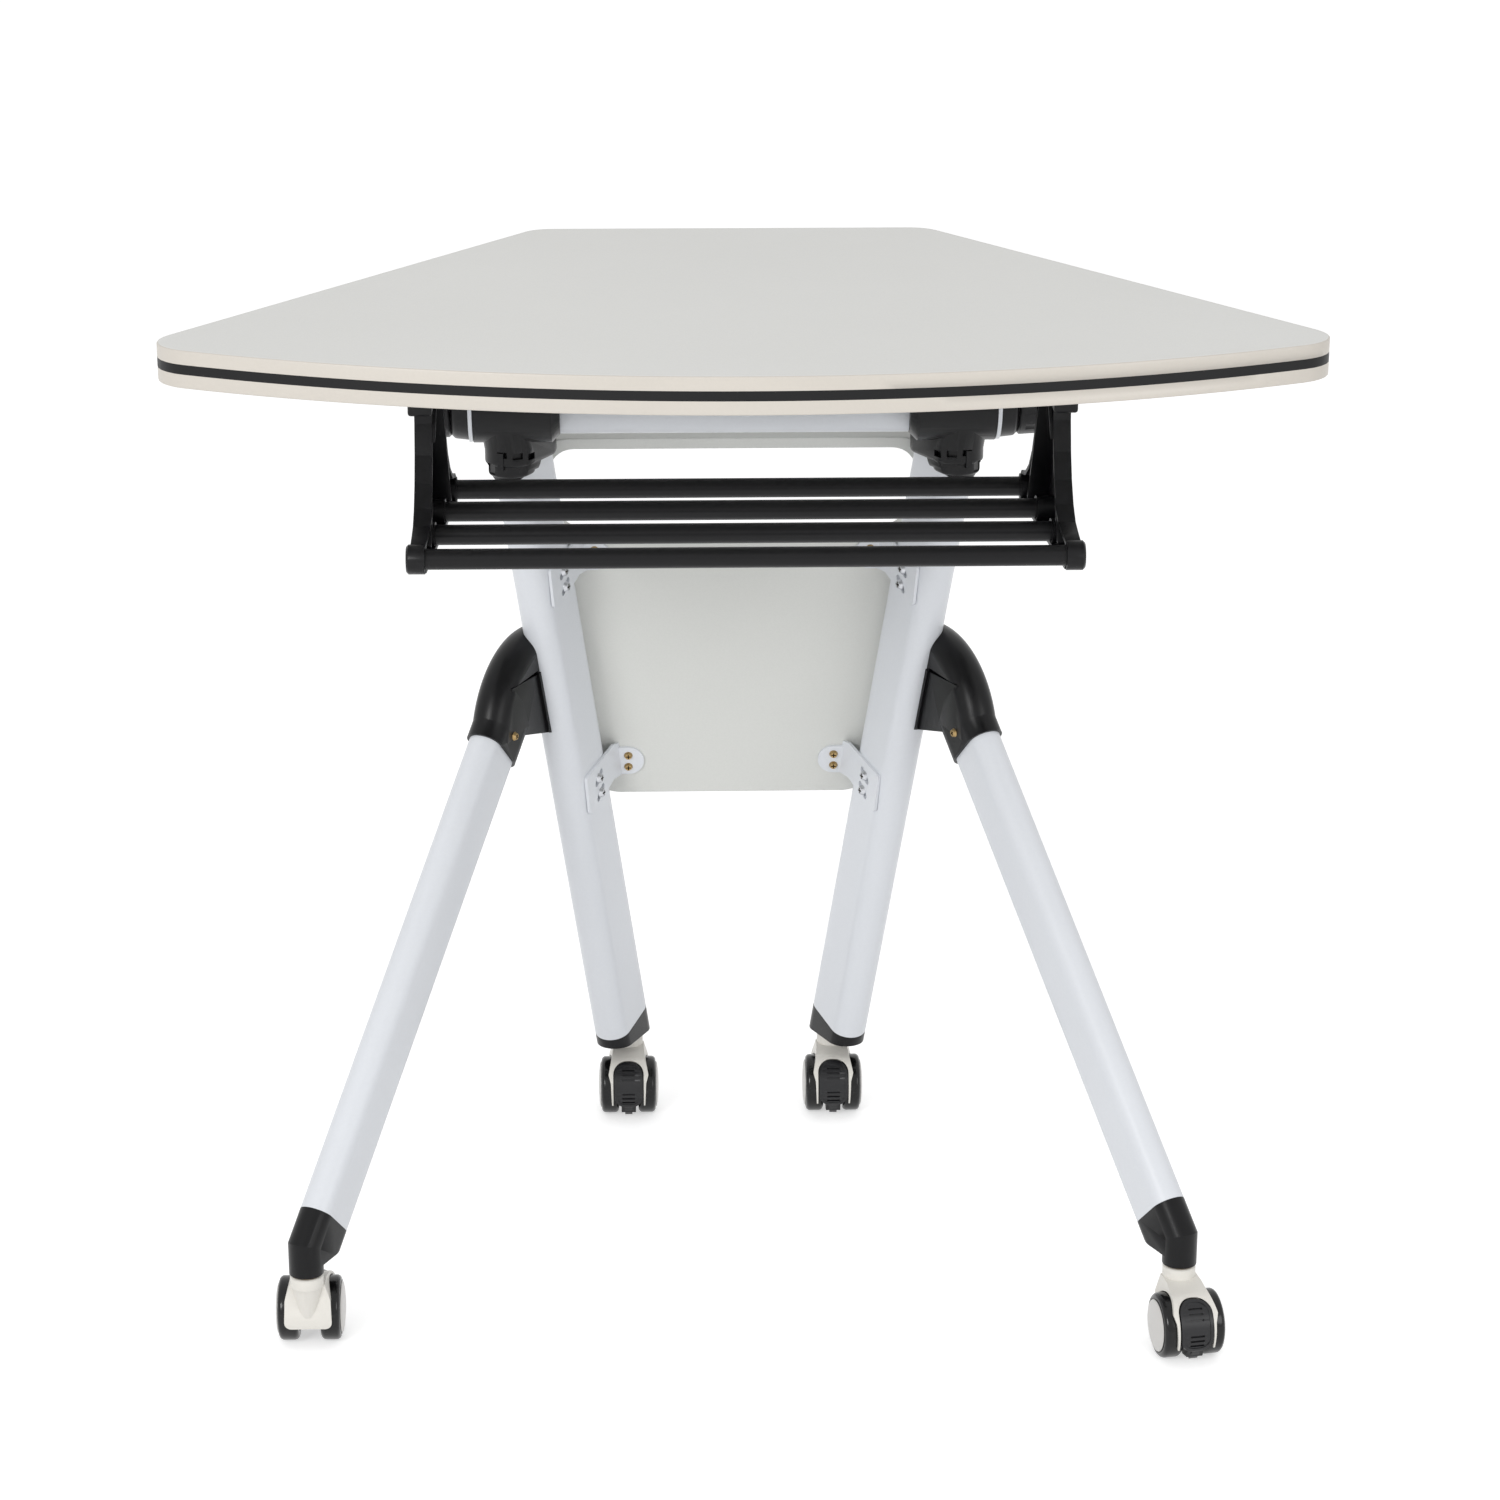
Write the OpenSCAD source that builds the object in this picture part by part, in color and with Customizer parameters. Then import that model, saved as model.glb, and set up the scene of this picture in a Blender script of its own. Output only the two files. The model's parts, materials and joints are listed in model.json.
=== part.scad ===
// Student desk with a flip top, a book rack and twin wheel castors.
// X runs across the desk, Y from the user's side to the rear, Z up, in millimetres.
// The origin lies on the floor below the middle of the desk.

/* [Desktop] */
// Radius of the curved front edge, from the point where the two sides would meet
top_radius = 800; // [760:5:840]
// Angle of each side to the centre line
side_angle = 30; // [28:0.5:32]
// Distance from that point to the straight rear edge
rear_radius = 260; // [240:5:275]
// Height of the working surface
desk_h = 747; // [727:5:787]
// Thickness of the desktop
top_t = 25; // [18:1:30]
// Rounding of the two front corners
front_corner_r = 38; // [25:1:50]
// Rounding of the two rear corners
rear_corner_r = 24; // [15:1:35]
// Thickness of the edge band
band_t = 2.5; // [1.5:0.5:4]
// Height of the dark stripe in the edge band
stripe_h = 6.5; // [4:0.5:9]
// How deep the stripe is let into the edge band
stripe_t = 1; // [0.6:0.1:1.2]

/* [Castor places] */
// Distance between the stems of the two front castors
front_stem_span = 630; // [610:5:650]
// Distance between the stems of the two rear castors
rear_stem_span = 170; // [160:5:190]
// Front stems behind the front edge of the desktop
front_stem_back = 146; // [130:2:160]
// Rear stems behind the front stems
stem_depth = 446; // [430:2:460]
// Angle that each castor trails at, measured from the X axis
castor_turns = [90, -80, -90, -90];

/* [Leg frame] */
// Step from the plane of the front leg in to the plane of the main leg
leg_step = 15; // [13:0.5:17]
// Flip axis behind the front edge of the desktop
flip_back = 423; // [415:1:430]
// Flip axis below the underside of the desktop
flip_drop = 78; // [72:1:90]
// Height at which the front leg's axis meets the main leg's axis
joint_h = 446; // [436:1:456]
// Height at which the front leg's axis meets the front stem's axis
front_foot_h = 65.5; // [64:0.5:68]
// Height of the middle of the main leg's foot
main_foot_h = 66.5; // [65:0.5:69]
// Foot of the main leg in front of the rear stem
main_foot_back = 10.3; // [9:0.1:11]

/* [Tubes] */
// Long side of the main leg's flat oval tube
main_w = 60; // [54:1:64]
// Short side of the main leg's tube
main_d = 30; // [28:1:32]
// Long side of the front leg's flat oval tube
front_w = 50; // [46:1:54]
// Short side of the front leg's tube
front_d = 25; // [22:1:26]
// Height of the cross beam's flat oval tube
beam_w = 60; // [50:1:66]
// Depth of the cross beam's tube
beam_d = 30; // [24:1:36]
// Wall of every leg and beam tube
tube_wall = 2; // [1.2:0.1:3]
// Length of the plugs that reach into the tubes
plug_len = 25; // [15:1:35]

/* [Leg heads] */
// Radius of the barrel round the flip axis
barrel_r = 36; // [34:0.5:38]
// Barrel from the leg's axis in towards the beam
barrel_in = 36; // [32:1:40]
// Barrel from the leg's axis out to the hinge plate
barrel_out = 28; // [26:0.5:32]
// Bevel at the barrel's inner end
barrel_bevel = 6; // [3:0.5:8]
// Wall of the socket that holds the main leg
socket_wall = 4; // [3:0.5:5]
// Lower rim of the socket below the flip axis, along the leg
socket_drop = 47; // [43:1:52]

/* [Leg joint] */
// Wall of the moulded joint round the front leg
joint_wall = 2.2; // [1.6:0.1:3]
// Mouth of the joint from the crossing of the two leg axes
joint_reach = 110; // [106:1:114]
// Radius of the knee's outer arc
knee_r = 81; // [79:0.5:83]
// Centre of that arc from the crossing, along the front leg
knee_back = 63; // [61:0.5:65]
// Centre of that arc below the front leg's axis
knee_drop = 46.5; // [45:0.5:48]
// Depth of the front leg in the joint
joint_depth = 24; // [20:1:26]
// Flange of the joint along the main leg
flange_len = 64; // [54:1:72]
// Thickness of that flange
flange_t = 4; // [3:0.5:5]

/* [Hinge] */
// Diameter of the pivot pins
pin_d = 12; // [10:0.5:14]
// Thickness of the hinge plates
plate_t = 3; // [2.5:0.5:4]
// Radius of the hinge plate round the pivot
plate_r = 27; // [22:1:32]
// Hinge plate in front of the flip axis where it meets the desktop
plate_front = 45; // [35:1:55]
// Hinge plate behind the flip axis where it meets the desktop
plate_rear = 24; // [16:1:28]
// Width of the hinge plate's screw flange
plate_flange = 34; // [28:1:40]
// Length of the collar outside the hinge plate
collar_len = 13; // [10:0.5:16]
// Radius of the collar
collar_r = 34; // [30:0.5:36]
// Length of the release knob
knob_len = 25; // [20:0.5:30]
// Radius of the release knob
knob_r = 32; // [28:0.5:34]

/* [Book rack] */
// Width of the rack over its brackets
rack_w = 445; // [435:1:452]
// Diameter of the rack bars
bar_d = 14; // [12:0.5:16]
// Distance between neighbouring bars
bar_pitch = 64; // [56:1:68]
// Front bar behind the front edge of the desktop
front_bar_back = 102; // [90:1:115]
// Bars below the underside of the desktop
rack_drop = 119; // [105:1:130]
// Width of a bracket's rim
rim_w = 13.5; // [11:0.5:15]
// Thickness of a bracket's rim and ribs
rim_t = 3; // [2:0.25:4]
// Thickness of a bracket's web
web_t = 4; // [3:0.5:5]
// Length of the inner three sockets for the bars
boss_len = 21; // [18:0.5:24]
// Wall of a bar socket
boss_wall = 3; // [2:0.25:4]

/* [Modesty panel] */
// Thickness of the panel
panel_t = 15; // [12:1:16]
// Gap between the main legs and the panel
panel_gap = 5; // [4:0.5:8]
// Height of the panel's lower edge
panel_low = 286; // [272:1:293]
// Height of the panel's upper edge
panel_high = 599; // [594:1:601]
// Rounding of the panel's lower corners
panel_corner_r = 21; // [14:1:30]
// Height of the rail above the window
rail_h = 9.5; // [8:0.5:14]
// Height of the window under that rail
window_h = 75; // [60:1:80]
// Rounding of the window's corners
window_r = 18; // [12:1:22]
// Width of the panel at each side of the window
stile_w = 15; // [12:1:20]

/* [Panel brackets] */
// Heights of the lower and the upper pair of brackets
bracket_heights = [317, 501];
// Thickness of the brackets
bracket_t = 2.5; // [2:0.25:3]
// Radius of the bracket's round tab
tab_r = 12.5; // [11:0.5:14]
// Reach of the tab's centre from the bend
tab_reach = 8; // [7:0.5:12]
// Distance between the two screws of a tab
tab_screw_gap = 10.6; // [9:0.2:12]

/* [Castors] */
// Wheel diameter
wheel_d = 47; // [45:0.5:49]
// Width of one wheel
wheel_w = 14.5; // [13:0.5:16]
// Gap between the two wheels
wheel_gap = 16; // [15:0.5:18]
// Offset of the axle from the stem
trail = 21; // [20:0.5:22]
// Height of the shoe's underside above the floor
castor_h = 62; // [60:0.5:63]
// Diameter of the front shoe's barrel
shoe_d = 25; // [22:0.5:25]
// Diameter of the collar round the castor's stem
neck_d = 24; // [22:0.5:25]
// Diameter of the stem
stem_d = 8; // [7:0.5:10]
// Diameter of the axle
axle_d = 6; // [5:0.5:7]
// Thickness of the castor's hood
hood_t = 2.2; // [1.8:0.1:2.6]
// Width of the hood at its plain shield
shield_w = 34.5; // [32:0.5:36]
// Width of the fork's arms at the brake pedal
arm_w = 29.2; // [28.6:0.2:30]
// Width of the brake pedal
pedal_w = 23.6; // [22:0.2:24]
// Thickness of the pedal's pad
pedal_t = 3; // [2.5:0.1:3.5]

/* [Clearances] */
// Radial clearance of a shaft or tube in its bore
fit_gap = 0.05; // [0.02:0.01:0.09]
// Gap between faces that move past each other
run_gap = 0.4; // [0.3:0.1:0.8]

/* [Hidden] */
$fn = 64;
side_names = ["left", "right"];

// Colours as the photograph shows them
laminate = [0.85, 0.85, 0.84];
cream = [0.89, 0.87, 0.82];
charcoal = [0.15, 0.15, 0.16];
pale_steel = [0.84, 0.86, 0.88];
board_white = [0.87, 0.88, 0.86];
zinc = [0.75, 0.76, 0.78];
brass = [0.78, 0.62, 0.32];
ivory = [0.89, 0.87, 0.84];
steel = [0.7, 0.7, 0.72];

// The leg frame seen from above
stem_step_x = (front_stem_span - rear_stem_span) / 2;
stem_reach = norm([stem_step_x, stem_depth]);
frame_angle = atan2(stem_step_x, stem_depth) - asin(leg_step / stem_reach);
frame_len = sqrt(pow(stem_reach, 2) - pow(leg_step, 2));
underside = desk_h - top_t;
flip_h = underside - flip_drop;

// The main leg in its own upright plane, as distance along the plane and height
main_foot = [frame_len - main_foot_back, main_foot_h];
main_head = [(flip_back - front_stem_back + leg_step * sin(frame_angle)) / cos(frame_angle), flip_h];
main_lean = atan2(main_foot.x - main_head.x, main_head.y - main_foot.y);
main_len = norm(main_head - main_foot);
function main_s(z) = main_foot.x - (z - main_foot.y) * tan(main_lean);
function frame_x(s, out) = -front_stem_span / 2 + s * sin(frame_angle) - out * cos(frame_angle);

// The front leg in the same view
joint_point = [main_s(joint_h), joint_h];
front_foot = [0, front_foot_h];
front_lean = atan2(joint_point.x - front_foot.x, joint_point.y - front_foot.y);
front_len = norm(joint_point - front_foot);

// The whole desk from its front edge to the back of the rear shoes
lean_y = sin(main_lean) * cos(frame_angle);
main_back_y = (main_w - main_d) / 2 * cos(main_lean) * cos(frame_angle)
    + main_d / 2 * sqrt(1 - pow(lean_y, 2));
overall_depth = front_stem_back + main_foot.x * cos(frame_angle) - leg_step * sin(frame_angle)
    + main_back_y;
front_y = -overall_depth / 2;
apex_y = front_y + top_radius;
front_stem_y = front_y + front_stem_back;
rear_stem_y = front_stem_y + stem_depth;
flip_y = front_y + flip_back;
leg_top_x = -frame_x(main_head.x, -leg_step);
barrel_end_x = leg_top_x + barrel_out;
beam_half = leg_top_x - barrel_in;
plate_x = barrel_end_x + run_gap;
collar_x = plate_x + plate_t;
knob_x = collar_x + collar_len + run_gap;

// The rack
rack_z = underside - rack_drop;
rack_x = rack_w / 2;

// The panel leans with the main legs
panel_tilt = atan(tan(main_lean) * cos(frame_angle));
panel_y = front_stem_y + main_s(panel_low) * cos(frame_angle) - leg_step * sin(frame_angle)
    + main_back_y + panel_gap;

// The castors, as stem position and trailing angle
castor_places = [
    [-front_stem_span / 2, front_stem_y, castor_turns[0]],
    [front_stem_span / 2, front_stem_y, castor_turns[1]],
    [-rear_stem_span / 2, rear_stem_y, castor_turns[2]],
    [rear_stem_span / 2, rear_stem_y, castor_turns[3]]];
wheel_r = wheel_d / 2;
wheel_in = wheel_gap / 2;
wheel_out = wheel_in + wheel_w;
hood_r = wheel_r + 0.6;

// Round corners of a polygon, each corner an arc of radius r
function turned(v) = [-v.y, v.x];
function unit(v) = v / norm(v);
function corner_arc(before, p, after, r, steps) =
    let (a = unit(before - p), b = unit(after - p))
    let (half = acos(a * b) / 2, centre = p + unit(a + b) * r / sin(half))
    let (first = unit(p + a * r / tan(half) - centre), last = unit(p + b * r / tan(half) - centre))
    let (sweep = acos(first * last), side = turned(first) * last > 0 ? 1 : -1)
    [for (i = [0:steps]) let (t = sweep * i / steps * side)
        centre + r * (first * cos(t) + turned(first) * sin(t))];
function rounded(points, r, steps = 5) = [for (i = [0:len(points) - 1])
    let (n = len(points))
    each corner_arc(points[(i + n - 1) % n], points[i], points[(i + 1) % n],
        is_list(r) ? r[i] : r, steps)];

// A polygon moved in by d, for points that run anticlockwise
function inset(points, d) = [for (i = [0:len(points) - 1])
    let (n = len(points), p = points[i])
    let (a = turned(unit(p - points[(i + n - 1) % n])), b = turned(unit(points[(i + 1) % n] - p)))
    p + (a + b) * d / (1 + a * b)];
function mirrored(points) = [for (i = [len(points) - 1:-1:0]) [-points[i].x, points[i].y]];

module on_side(name) {
    if (name == "left") children();
    else mirror([1, 0, 0]) children();
}

module flat_oval(w, d) {
    square([w - d, d], center = true);
    for (side = [-1, 1]) translate([side * (w - d) / 2, 0]) circle(d = d);
}

module tube(w, d, h) {
    linear_extrude(h) difference() {
        flat_oval(w, d);
        flat_oval(w - 2 * tube_wall, d - 2 * tube_wall);
    }
}

module plug(w, d, h) {
    inner = 2 * (tube_wall + fit_gap);
    linear_extrude(h) flat_oval(w - inner, d - inner);
}

// Left leg frame: X along its plane to the rear, Y outwards, Z up
module in_frame() {
    translate([-front_stem_span / 2, front_stem_y, 0]) rotate([0, 0, 90 - frame_angle]) children();
}

// Z runs up the main leg from its foot
module on_main_leg() {
    in_frame() translate([main_foot.x, -leg_step, main_foot.y]) rotate([0, -main_lean, 0]) children();
}

// Z runs up the front leg from its foot
module on_front_leg() {
    in_frame() translate([front_foot.x, 0, front_foot.y]) rotate([0, front_lean, 0]) children();
}

// X runs out along the flip axis on the left side
module on_flip_axis(x) {
    translate([-x, flip_y, flip_h]) rotate([0, -90, 0]) children();
}

// X across, Y through the panel from its front face, Z up the panel from its lower edge
module on_panel() {
    translate([0, panel_y, panel_low]) rotate([panel_tilt, 0, 0]) children();
}

// Desktop outline moved in by d
function desk_half(d) =
    let (lean = asin(front_corner_r / (top_radius - front_corner_r)), front = side_angle - lean)
    let (front_c = (top_radius - front_corner_r) * [sin(front), -cos(front)])
    let (rear_c = [((rear_radius + rear_corner_r) * sin(side_angle) - rear_corner_r) / cos(side_angle),
        -rear_radius - rear_corner_r])
    let (arc_steps = 24, corner_steps = 8, side = 90 + side_angle)
    concat(
        [for (i = [0:arc_steps - 1]) let (t = front * i / arc_steps)
            (top_radius - d) * [sin(t), -cos(t)]],
        [for (i = [0:corner_steps]) let (t = front + (side - front) * i / corner_steps)
            front_c + (front_corner_r - d) * [sin(t), -cos(t)]],
        [for (i = [0:corner_steps]) let (t = side + (180 - side) * i / corner_steps)
            rear_c + (rear_corner_r - d) * [sin(t), -cos(t)]]);

module desk_outline(d) {
    half = desk_half(d);
    translate([0, apex_y])
        polygon(concat(half, [for (i = [len(half) - 1:-1:1]) [-half[i].x, half[i].y]]));
}

module desktop() {
    color(laminate) translate([0, 0, underside]) linear_extrude(top_t) desk_outline(band_t);
}

module edge_ring(outer, inner, h) {
    linear_extrude(h) difference() {
        desk_outline(outer);
        desk_outline(inner);
    }
}

module edge_band() {
    groove_z = underside + (top_t - stripe_h) / 2;
    color(cream) difference() {
        translate([0, 0, underside]) edge_ring(0, band_t, top_t);
        translate([0, 0, groove_z]) edge_ring(-1, stripe_t, stripe_h);
    }
}

module edge_stripe() {
    color(charcoal) translate([0, 0, underside + (top_t - stripe_h) / 2])
        edge_ring(0, stripe_t, stripe_h);
}

// Hinge plate: a round ear on the pivot that widens up to a flange under the desktop
module hinge_plate(name) {
    // The plate's outline in Y and Z, seen along the flip axis
    ear = [[-plate_r, 0], [-plate_front, flip_drop - plate_t], [-plate_front, flip_drop],
        [plate_rear, flip_drop], [plate_rear, flip_drop - plate_t], [plate_r, 0]];
    color(pale_steel) on_side(name) difference() {
        union() {
            on_flip_axis(plate_x) linear_extrude(plate_t) {
                circle(plate_r);
                polygon([for (p = ear) [p.y, p.x]]);
            }
            translate([-plate_x - plate_t, flip_y - plate_front, underside - plate_t])
                cube([plate_flange, plate_front + plate_rear, plate_t]);
        }
        on_flip_axis(plate_x - 1) cylinder(d = pin_d + 2 * fit_gap, h = plate_t + 2);
        for (p = plate_screw_places())
            translate([p.x, p.y, underside - plate_t - 1]) cylinder(d = 4.6, h = plate_t + 2);
    }
}

function plate_screw_places() = [for (y = [10 - plate_front, plate_rear - 10])
    [-plate_x - plate_t + plate_flange - 9, flip_y + y]];

// Collar: a tapered ring that turns with the hinge plate
module hinge_collar(name) {
    lip = 2.5;
    color(charcoal) on_side(name) difference() {
        on_flip_axis(collar_x) rotate_extrude()
            polygon([[0, 0], [collar_r, 0], [collar_r - 1.2, collar_len - lip],
                [collar_r - 1.2 - lip, collar_len], [0, collar_len]]);
        on_flip_axis(collar_x - 1) cylinder(d = pin_d + 2 * fit_gap, h = collar_len + 2);
    }
}

// Release knob: a grip with shallow flutes and a blind bore over the end of the pin
module release_knob(name) {
    flute_r = 7;
    flute_depth = 1.4;
    color(charcoal) on_side(name) difference() {
        on_flip_axis(knob_x) rotate_extrude()
            polygon([[0, 0], [knob_r - 1.5, 0], [knob_r, 1.5], [knob_r - 1, knob_len - 5],
                [knob_r - 2.6, knob_len - 1.8], [knob_r - 5.5, knob_len], [0, knob_len]]);
        on_flip_axis(knob_x - 1) cylinder(d = pin_d + 2 * fit_gap, h = knob_len - 4);
        on_flip_axis(knob_x + 5) for (a = [15:30:345])
            rotate([0, 0, a]) translate([knob_r + flute_r - flute_depth, 0, 0])
                cylinder(r = flute_r, h = knob_len, $fn = 32);
    }
}

// Pan head wood screw pointing up, its head below the origin
module wood_screw(head_d, shank_d, len) {
    head_h = head_d * 0.32;
    recess = head_d * 0.14;
    difference() {
        union() {
            translate([0, 0, -head_h]) cylinder(d1 = head_d * 0.7, d2 = head_d, h = head_h);
            cylinder(d = shank_d, h = len);
        }
        translate([-head_d * 0.28, -recess / 2, -head_h - 0.1]) cube([head_d * 0.56, recess, head_h * 0.6]);
        translate([-recess / 2, -head_d * 0.28, -head_h - 0.1]) cube([recess, head_d * 0.56, head_h * 0.6]);
    }
}

// Screws that hold the hinge plates and the rack brackets under the desktop, short of its wood
module top_screws() {
    color(zinc) for (name = side_names) on_side(name) {
        for (p = plate_screw_places())
            translate([p.x, p.y, underside - plate_t]) wood_screw(8, 4.5, plate_t);
        for (p = rack_screw_places())
            translate([p.x, p.y, underside - rim_t]) wood_screw(8, 4.5, rim_t);
    }
}

// Bracket outline in Y from the front bar and Z from the bars, running anticlockwise
neck_front = 76;
neck_rear = 128;
rack_span = 3 * bar_pitch;
boss_r = bar_d / 2 + boss_wall;
function hollow(centre, a, b, from, to) = [for (i = [0:6]) let (t = from + (to - from) * i / 6)
    centre + [a * cos(t), b * sin(t)]];
function bracket_outline() = concat([[0, -boss_r], [rack_span, -boss_r], [rack_span, boss_r]],
    hollow([rack_span - 4, rack_drop - 22], rack_span - 4 - neck_rear, rack_drop - 25 - boss_r, 270, 180),
    [[neck_rear - 3, rack_drop], [neck_front - 3, rack_drop]],
    hollow([14, rack_drop - 22], neck_front - 14, rack_drop - 24 - boss_r, 0, -90),
    [[0, boss_r]]);
function rack_screw_places() = [for (y = [neck_front + 8, neck_rear - 14])
    [-rack_x + 10, front_y + front_bar_back + y]];

// Y and Z of the bracket's outline, X from the outer face in
module in_rack_side() {
    translate([-rack_x, front_y + front_bar_back, rack_z]) rotate([90, 0, 90]) children();
}

// The bracket's space, as deep as d.x at the front bar and d.y at the rear bar
module bracket_wedge(d) {
    slope = (d.y - d.x) / rack_span;
    translate([0, 2 * rack_drop, 0]) rotate([90, 0, 0]) linear_extrude(3 * rack_drop)
        polygon([[-2 * boss_r, -cap_out], [rack_span + 2 * boss_r, -cap_out],
            [rack_span + 2 * boss_r, d.y + 2 * boss_r * slope], [-2 * boss_r, d.x - 2 * boss_r * slope]]);
}

// Side bracket: a web inside a rim, four bar sockets, two ribs and a screw flange
module rack_bracket(name) {
    outline = bracket_outline();
    color(charcoal) on_side(name) difference() {
        union() {
            in_rack_side() {
                linear_extrude(web_t) polygon(rounded(outline, 1.5, 2));
                intersection() {
                    union() {
                        linear_extrude(boss_len) difference() {
                            polygon(rounded(outline, 1.5, 2));
                            polygon(rounded(inset(outline, rim_t), 1, 2));
                            neck_front_zone();
                        }
                        linear_extrude(boss_len) intersection() {
                            polygon(inset(outline, 1));
                            bracket_ribs();
                        }
                    }
                    bracket_wedge([rim_w - 3.5, boss_len]);
                }
                linear_extrude(rim_w - 1.5) intersection() {
                    difference() {
                        polygon(rounded(outline, 1.5, 2));
                        polygon(rounded(inset(outline, rim_t), 1, 2));
                    }
                    neck_front_zone();
                }
                intersection() {
                    for (i = [1:3]) translate([i * bar_pitch, 0]) cylinder(r = boss_r - 1, h = boss_len);
                    bracket_wedge([rim_w - 4, boss_len - 1]);
                }
                translate([0, 0, -cap_out]) rotate_extrude() polygon([[0, 0], [boss_r - 1.5, 0],
                    [boss_r, 1.5], [boss_r, rim_w - 1], [0, rim_w - 1]]);
                translate([rack_span, 0, 0]) cylinder(r = boss_r - 0.8, h = boss_len + 0.6);
            }
            translate([-rack_x - lip_out, front_y + front_bar_back + neck_front - 10, underside - rim_t])
                cube([boss_len + lip_out - 2, neck_rear - neck_front + 14, rim_t]);
            translate([-rack_x - lip_out, front_y + front_bar_back + neck_front - 6, underside - lip_h])
                cube([lip_out + 1, neck_rear - neck_front + 6, lip_h - 1]);
        }
        in_rack_side() for (i = [0:3]) translate([i * bar_pitch, 0, web_t])
            cylinder(d = bar_d + 2 * fit_gap, h = 2 * boss_len);
        for (p = rack_screw_places())
            translate([p.x, p.y, underside - 4 * rim_t]) cylinder(d = 4.6, h = 5 * rim_t);
    }
}
cap_out = 3;
lip_out = 2.5;
lip_h = 7;

module neck_front_zone() {
    translate([neck_front - 30, boss_r + 12]) square([30 + 2 * rim_t, rack_drop]);
}

module bracket_ribs() {
    top = [(neck_front + neck_rear) / 2, rack_drop - rim_t];
    for (foot = [[bar_pitch / 2, 0], [rack_span - bar_pitch / 2, 0]]) {
        across = turned(unit(top - foot)) * rim_t * 0.4;
        polygon([foot - across, top - across, top + across, foot + across]);
    }
}

module rack_bar(i) {
    len = rack_w - 2 * (web_t + 1);
    color(charcoal) translate([-len / 2, front_y + front_bar_back + (4 - i) * bar_pitch, rack_z])
        rotate([0, 90, 0]) difference() {
            cylinder(d = bar_d, h = len);
            translate([0, 0, -1]) cylinder(d = bar_d - 2.4, h = len + 2);
        }
}

module cross_beam() {
    color(pale_steel) translate([-beam_half, flip_y, flip_h]) rotate([0, 90, 0])
        tube(beam_w, beam_d, 2 * beam_half);
}

// Leg head: a barrel round the flip axis over a socket that takes the main leg
module leg_head(name) {
    barrel_len = barrel_in + barrel_out;
    leg_top = main_len - 22;
    color(charcoal) on_side(name) difference() {
        union() {
            on_flip_axis(beam_half) rotate_extrude() polygon([[0, 0], [barrel_r - barrel_bevel, 0],
                [barrel_r, barrel_bevel], [barrel_r, barrel_len], [0, barrel_len]]);
            on_main_leg() translate([0, 0, main_len - socket_drop]) linear_extrude(socket_drop)
                flat_oval(main_w + 2 * socket_wall, main_d + 2 * socket_wall);
            head_tongue();
            translate([plug_len - beam_half, flip_y, flip_h]) rotate([0, -90, 0])
                plug(beam_w, beam_d, plug_len + 1);
        }
        on_main_leg() linear_extrude(leg_top) flat_oval(main_w + 2 * fit_gap, main_d + 2 * fit_gap);
        on_flip_axis(barrel_end_x - 40) cylinder(d = pin_d + 2 * fit_gap, h = 41);
        head_pockets();
    }
}

// Tongue with a round lower end, down the front of the main leg below the socket
module head_tongue() {
    wall = socket_wall - 1.4;
    r = main_d / 2 + wall;
    low = main_len - socket_drop - 14;
    low_z = main_foot.y + low * cos(main_lean) - main_w / 2 * sin(main_lean);
    intersection() {
        on_main_leg() translate([0, 0, low]) linear_extrude(20)
            flat_oval(main_w + 2 * wall, main_d + 2 * wall);
        in_frame() translate([main_s(low_z) - main_w, -leg_step, low_z + r + 1]) rotate([0, 90, 0])
            linear_extrude(main_w - 8) {
                circle(r);
                translate([-2 * r, -r]) square([2 * r, 2 * r]);
            }
    }
}

// Three small mould pockets across the front of the socket
module head_pockets() {
    pocket_z = flip_h - socket_drop - 1;
    nose = main_s(pocket_z) - (main_w / 2 + socket_wall) / cos(main_lean);
    for (i = [-1, 0, 1]) in_frame()
        translate([nose + 1.8 + abs(i) * 1.6, -leg_step + i * 9, pocket_z])
            rotate([0, -main_lean, -i * 28]) cube([5, 6, 5], center = true);
}

module pivot_pin(name) {
    len = 40 + run_gap + plate_t + collar_len + knob_len - 8;
    color(steel) on_side(name) on_flip_axis(barrel_end_x - 40) cylinder(d = pin_d, h = len);
}

module main_leg(name) {
    color(pale_steel) on_side(name) on_main_leg() translate([0, 0, rear_cap])
        tube(main_w, main_d, main_len - 22 - rear_cap);
}

front_foot_len = 37;
rear_cap = 13.5;
joint_screw_in = 15;
knee_proud = 0.3;
front_leg_len = front_len - joint_reach + joint_depth - front_foot_len;

module front_leg(name) {
    color(pale_steel) on_side(name) on_front_leg() translate([0, 0, front_foot_len])
        tube(front_w, front_d, front_leg_len);
}

// Leg joint: a socket on the front leg, then a round knee against the main leg's outer half
module leg_joint(name) {
    w = front_w + 2 * joint_wall;
    d = front_d + 2 * joint_wall;
    mouth = front_len - joint_reach;
    color(charcoal) on_side(name) difference() {
        union() {
            on_front_leg() translate([0, 0, mouth]) linear_extrude(joint_reach - 40) flat_oval(w, d);
            joint_knee(mouth, d + 2 * knee_proud);
            joint_web();
            joint_flange();
        }
        on_main_leg() linear_extrude(main_len) flat_oval(main_w + 2 * fit_gap, main_d + 2 * fit_gap);
        joint_recess(mouth);
        on_front_leg() translate([0, 0, mouth - 1])
            linear_extrude(joint_depth + 1) flat_oval(front_w + 2 * fit_gap, front_d + 2 * fit_gap);
        on_front_leg() translate([0, 0, mouth + joint_screw_in]) rotate([90, 0, 0])
            cylinder(d = 3.6, h = front_d);
    }
}

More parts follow.
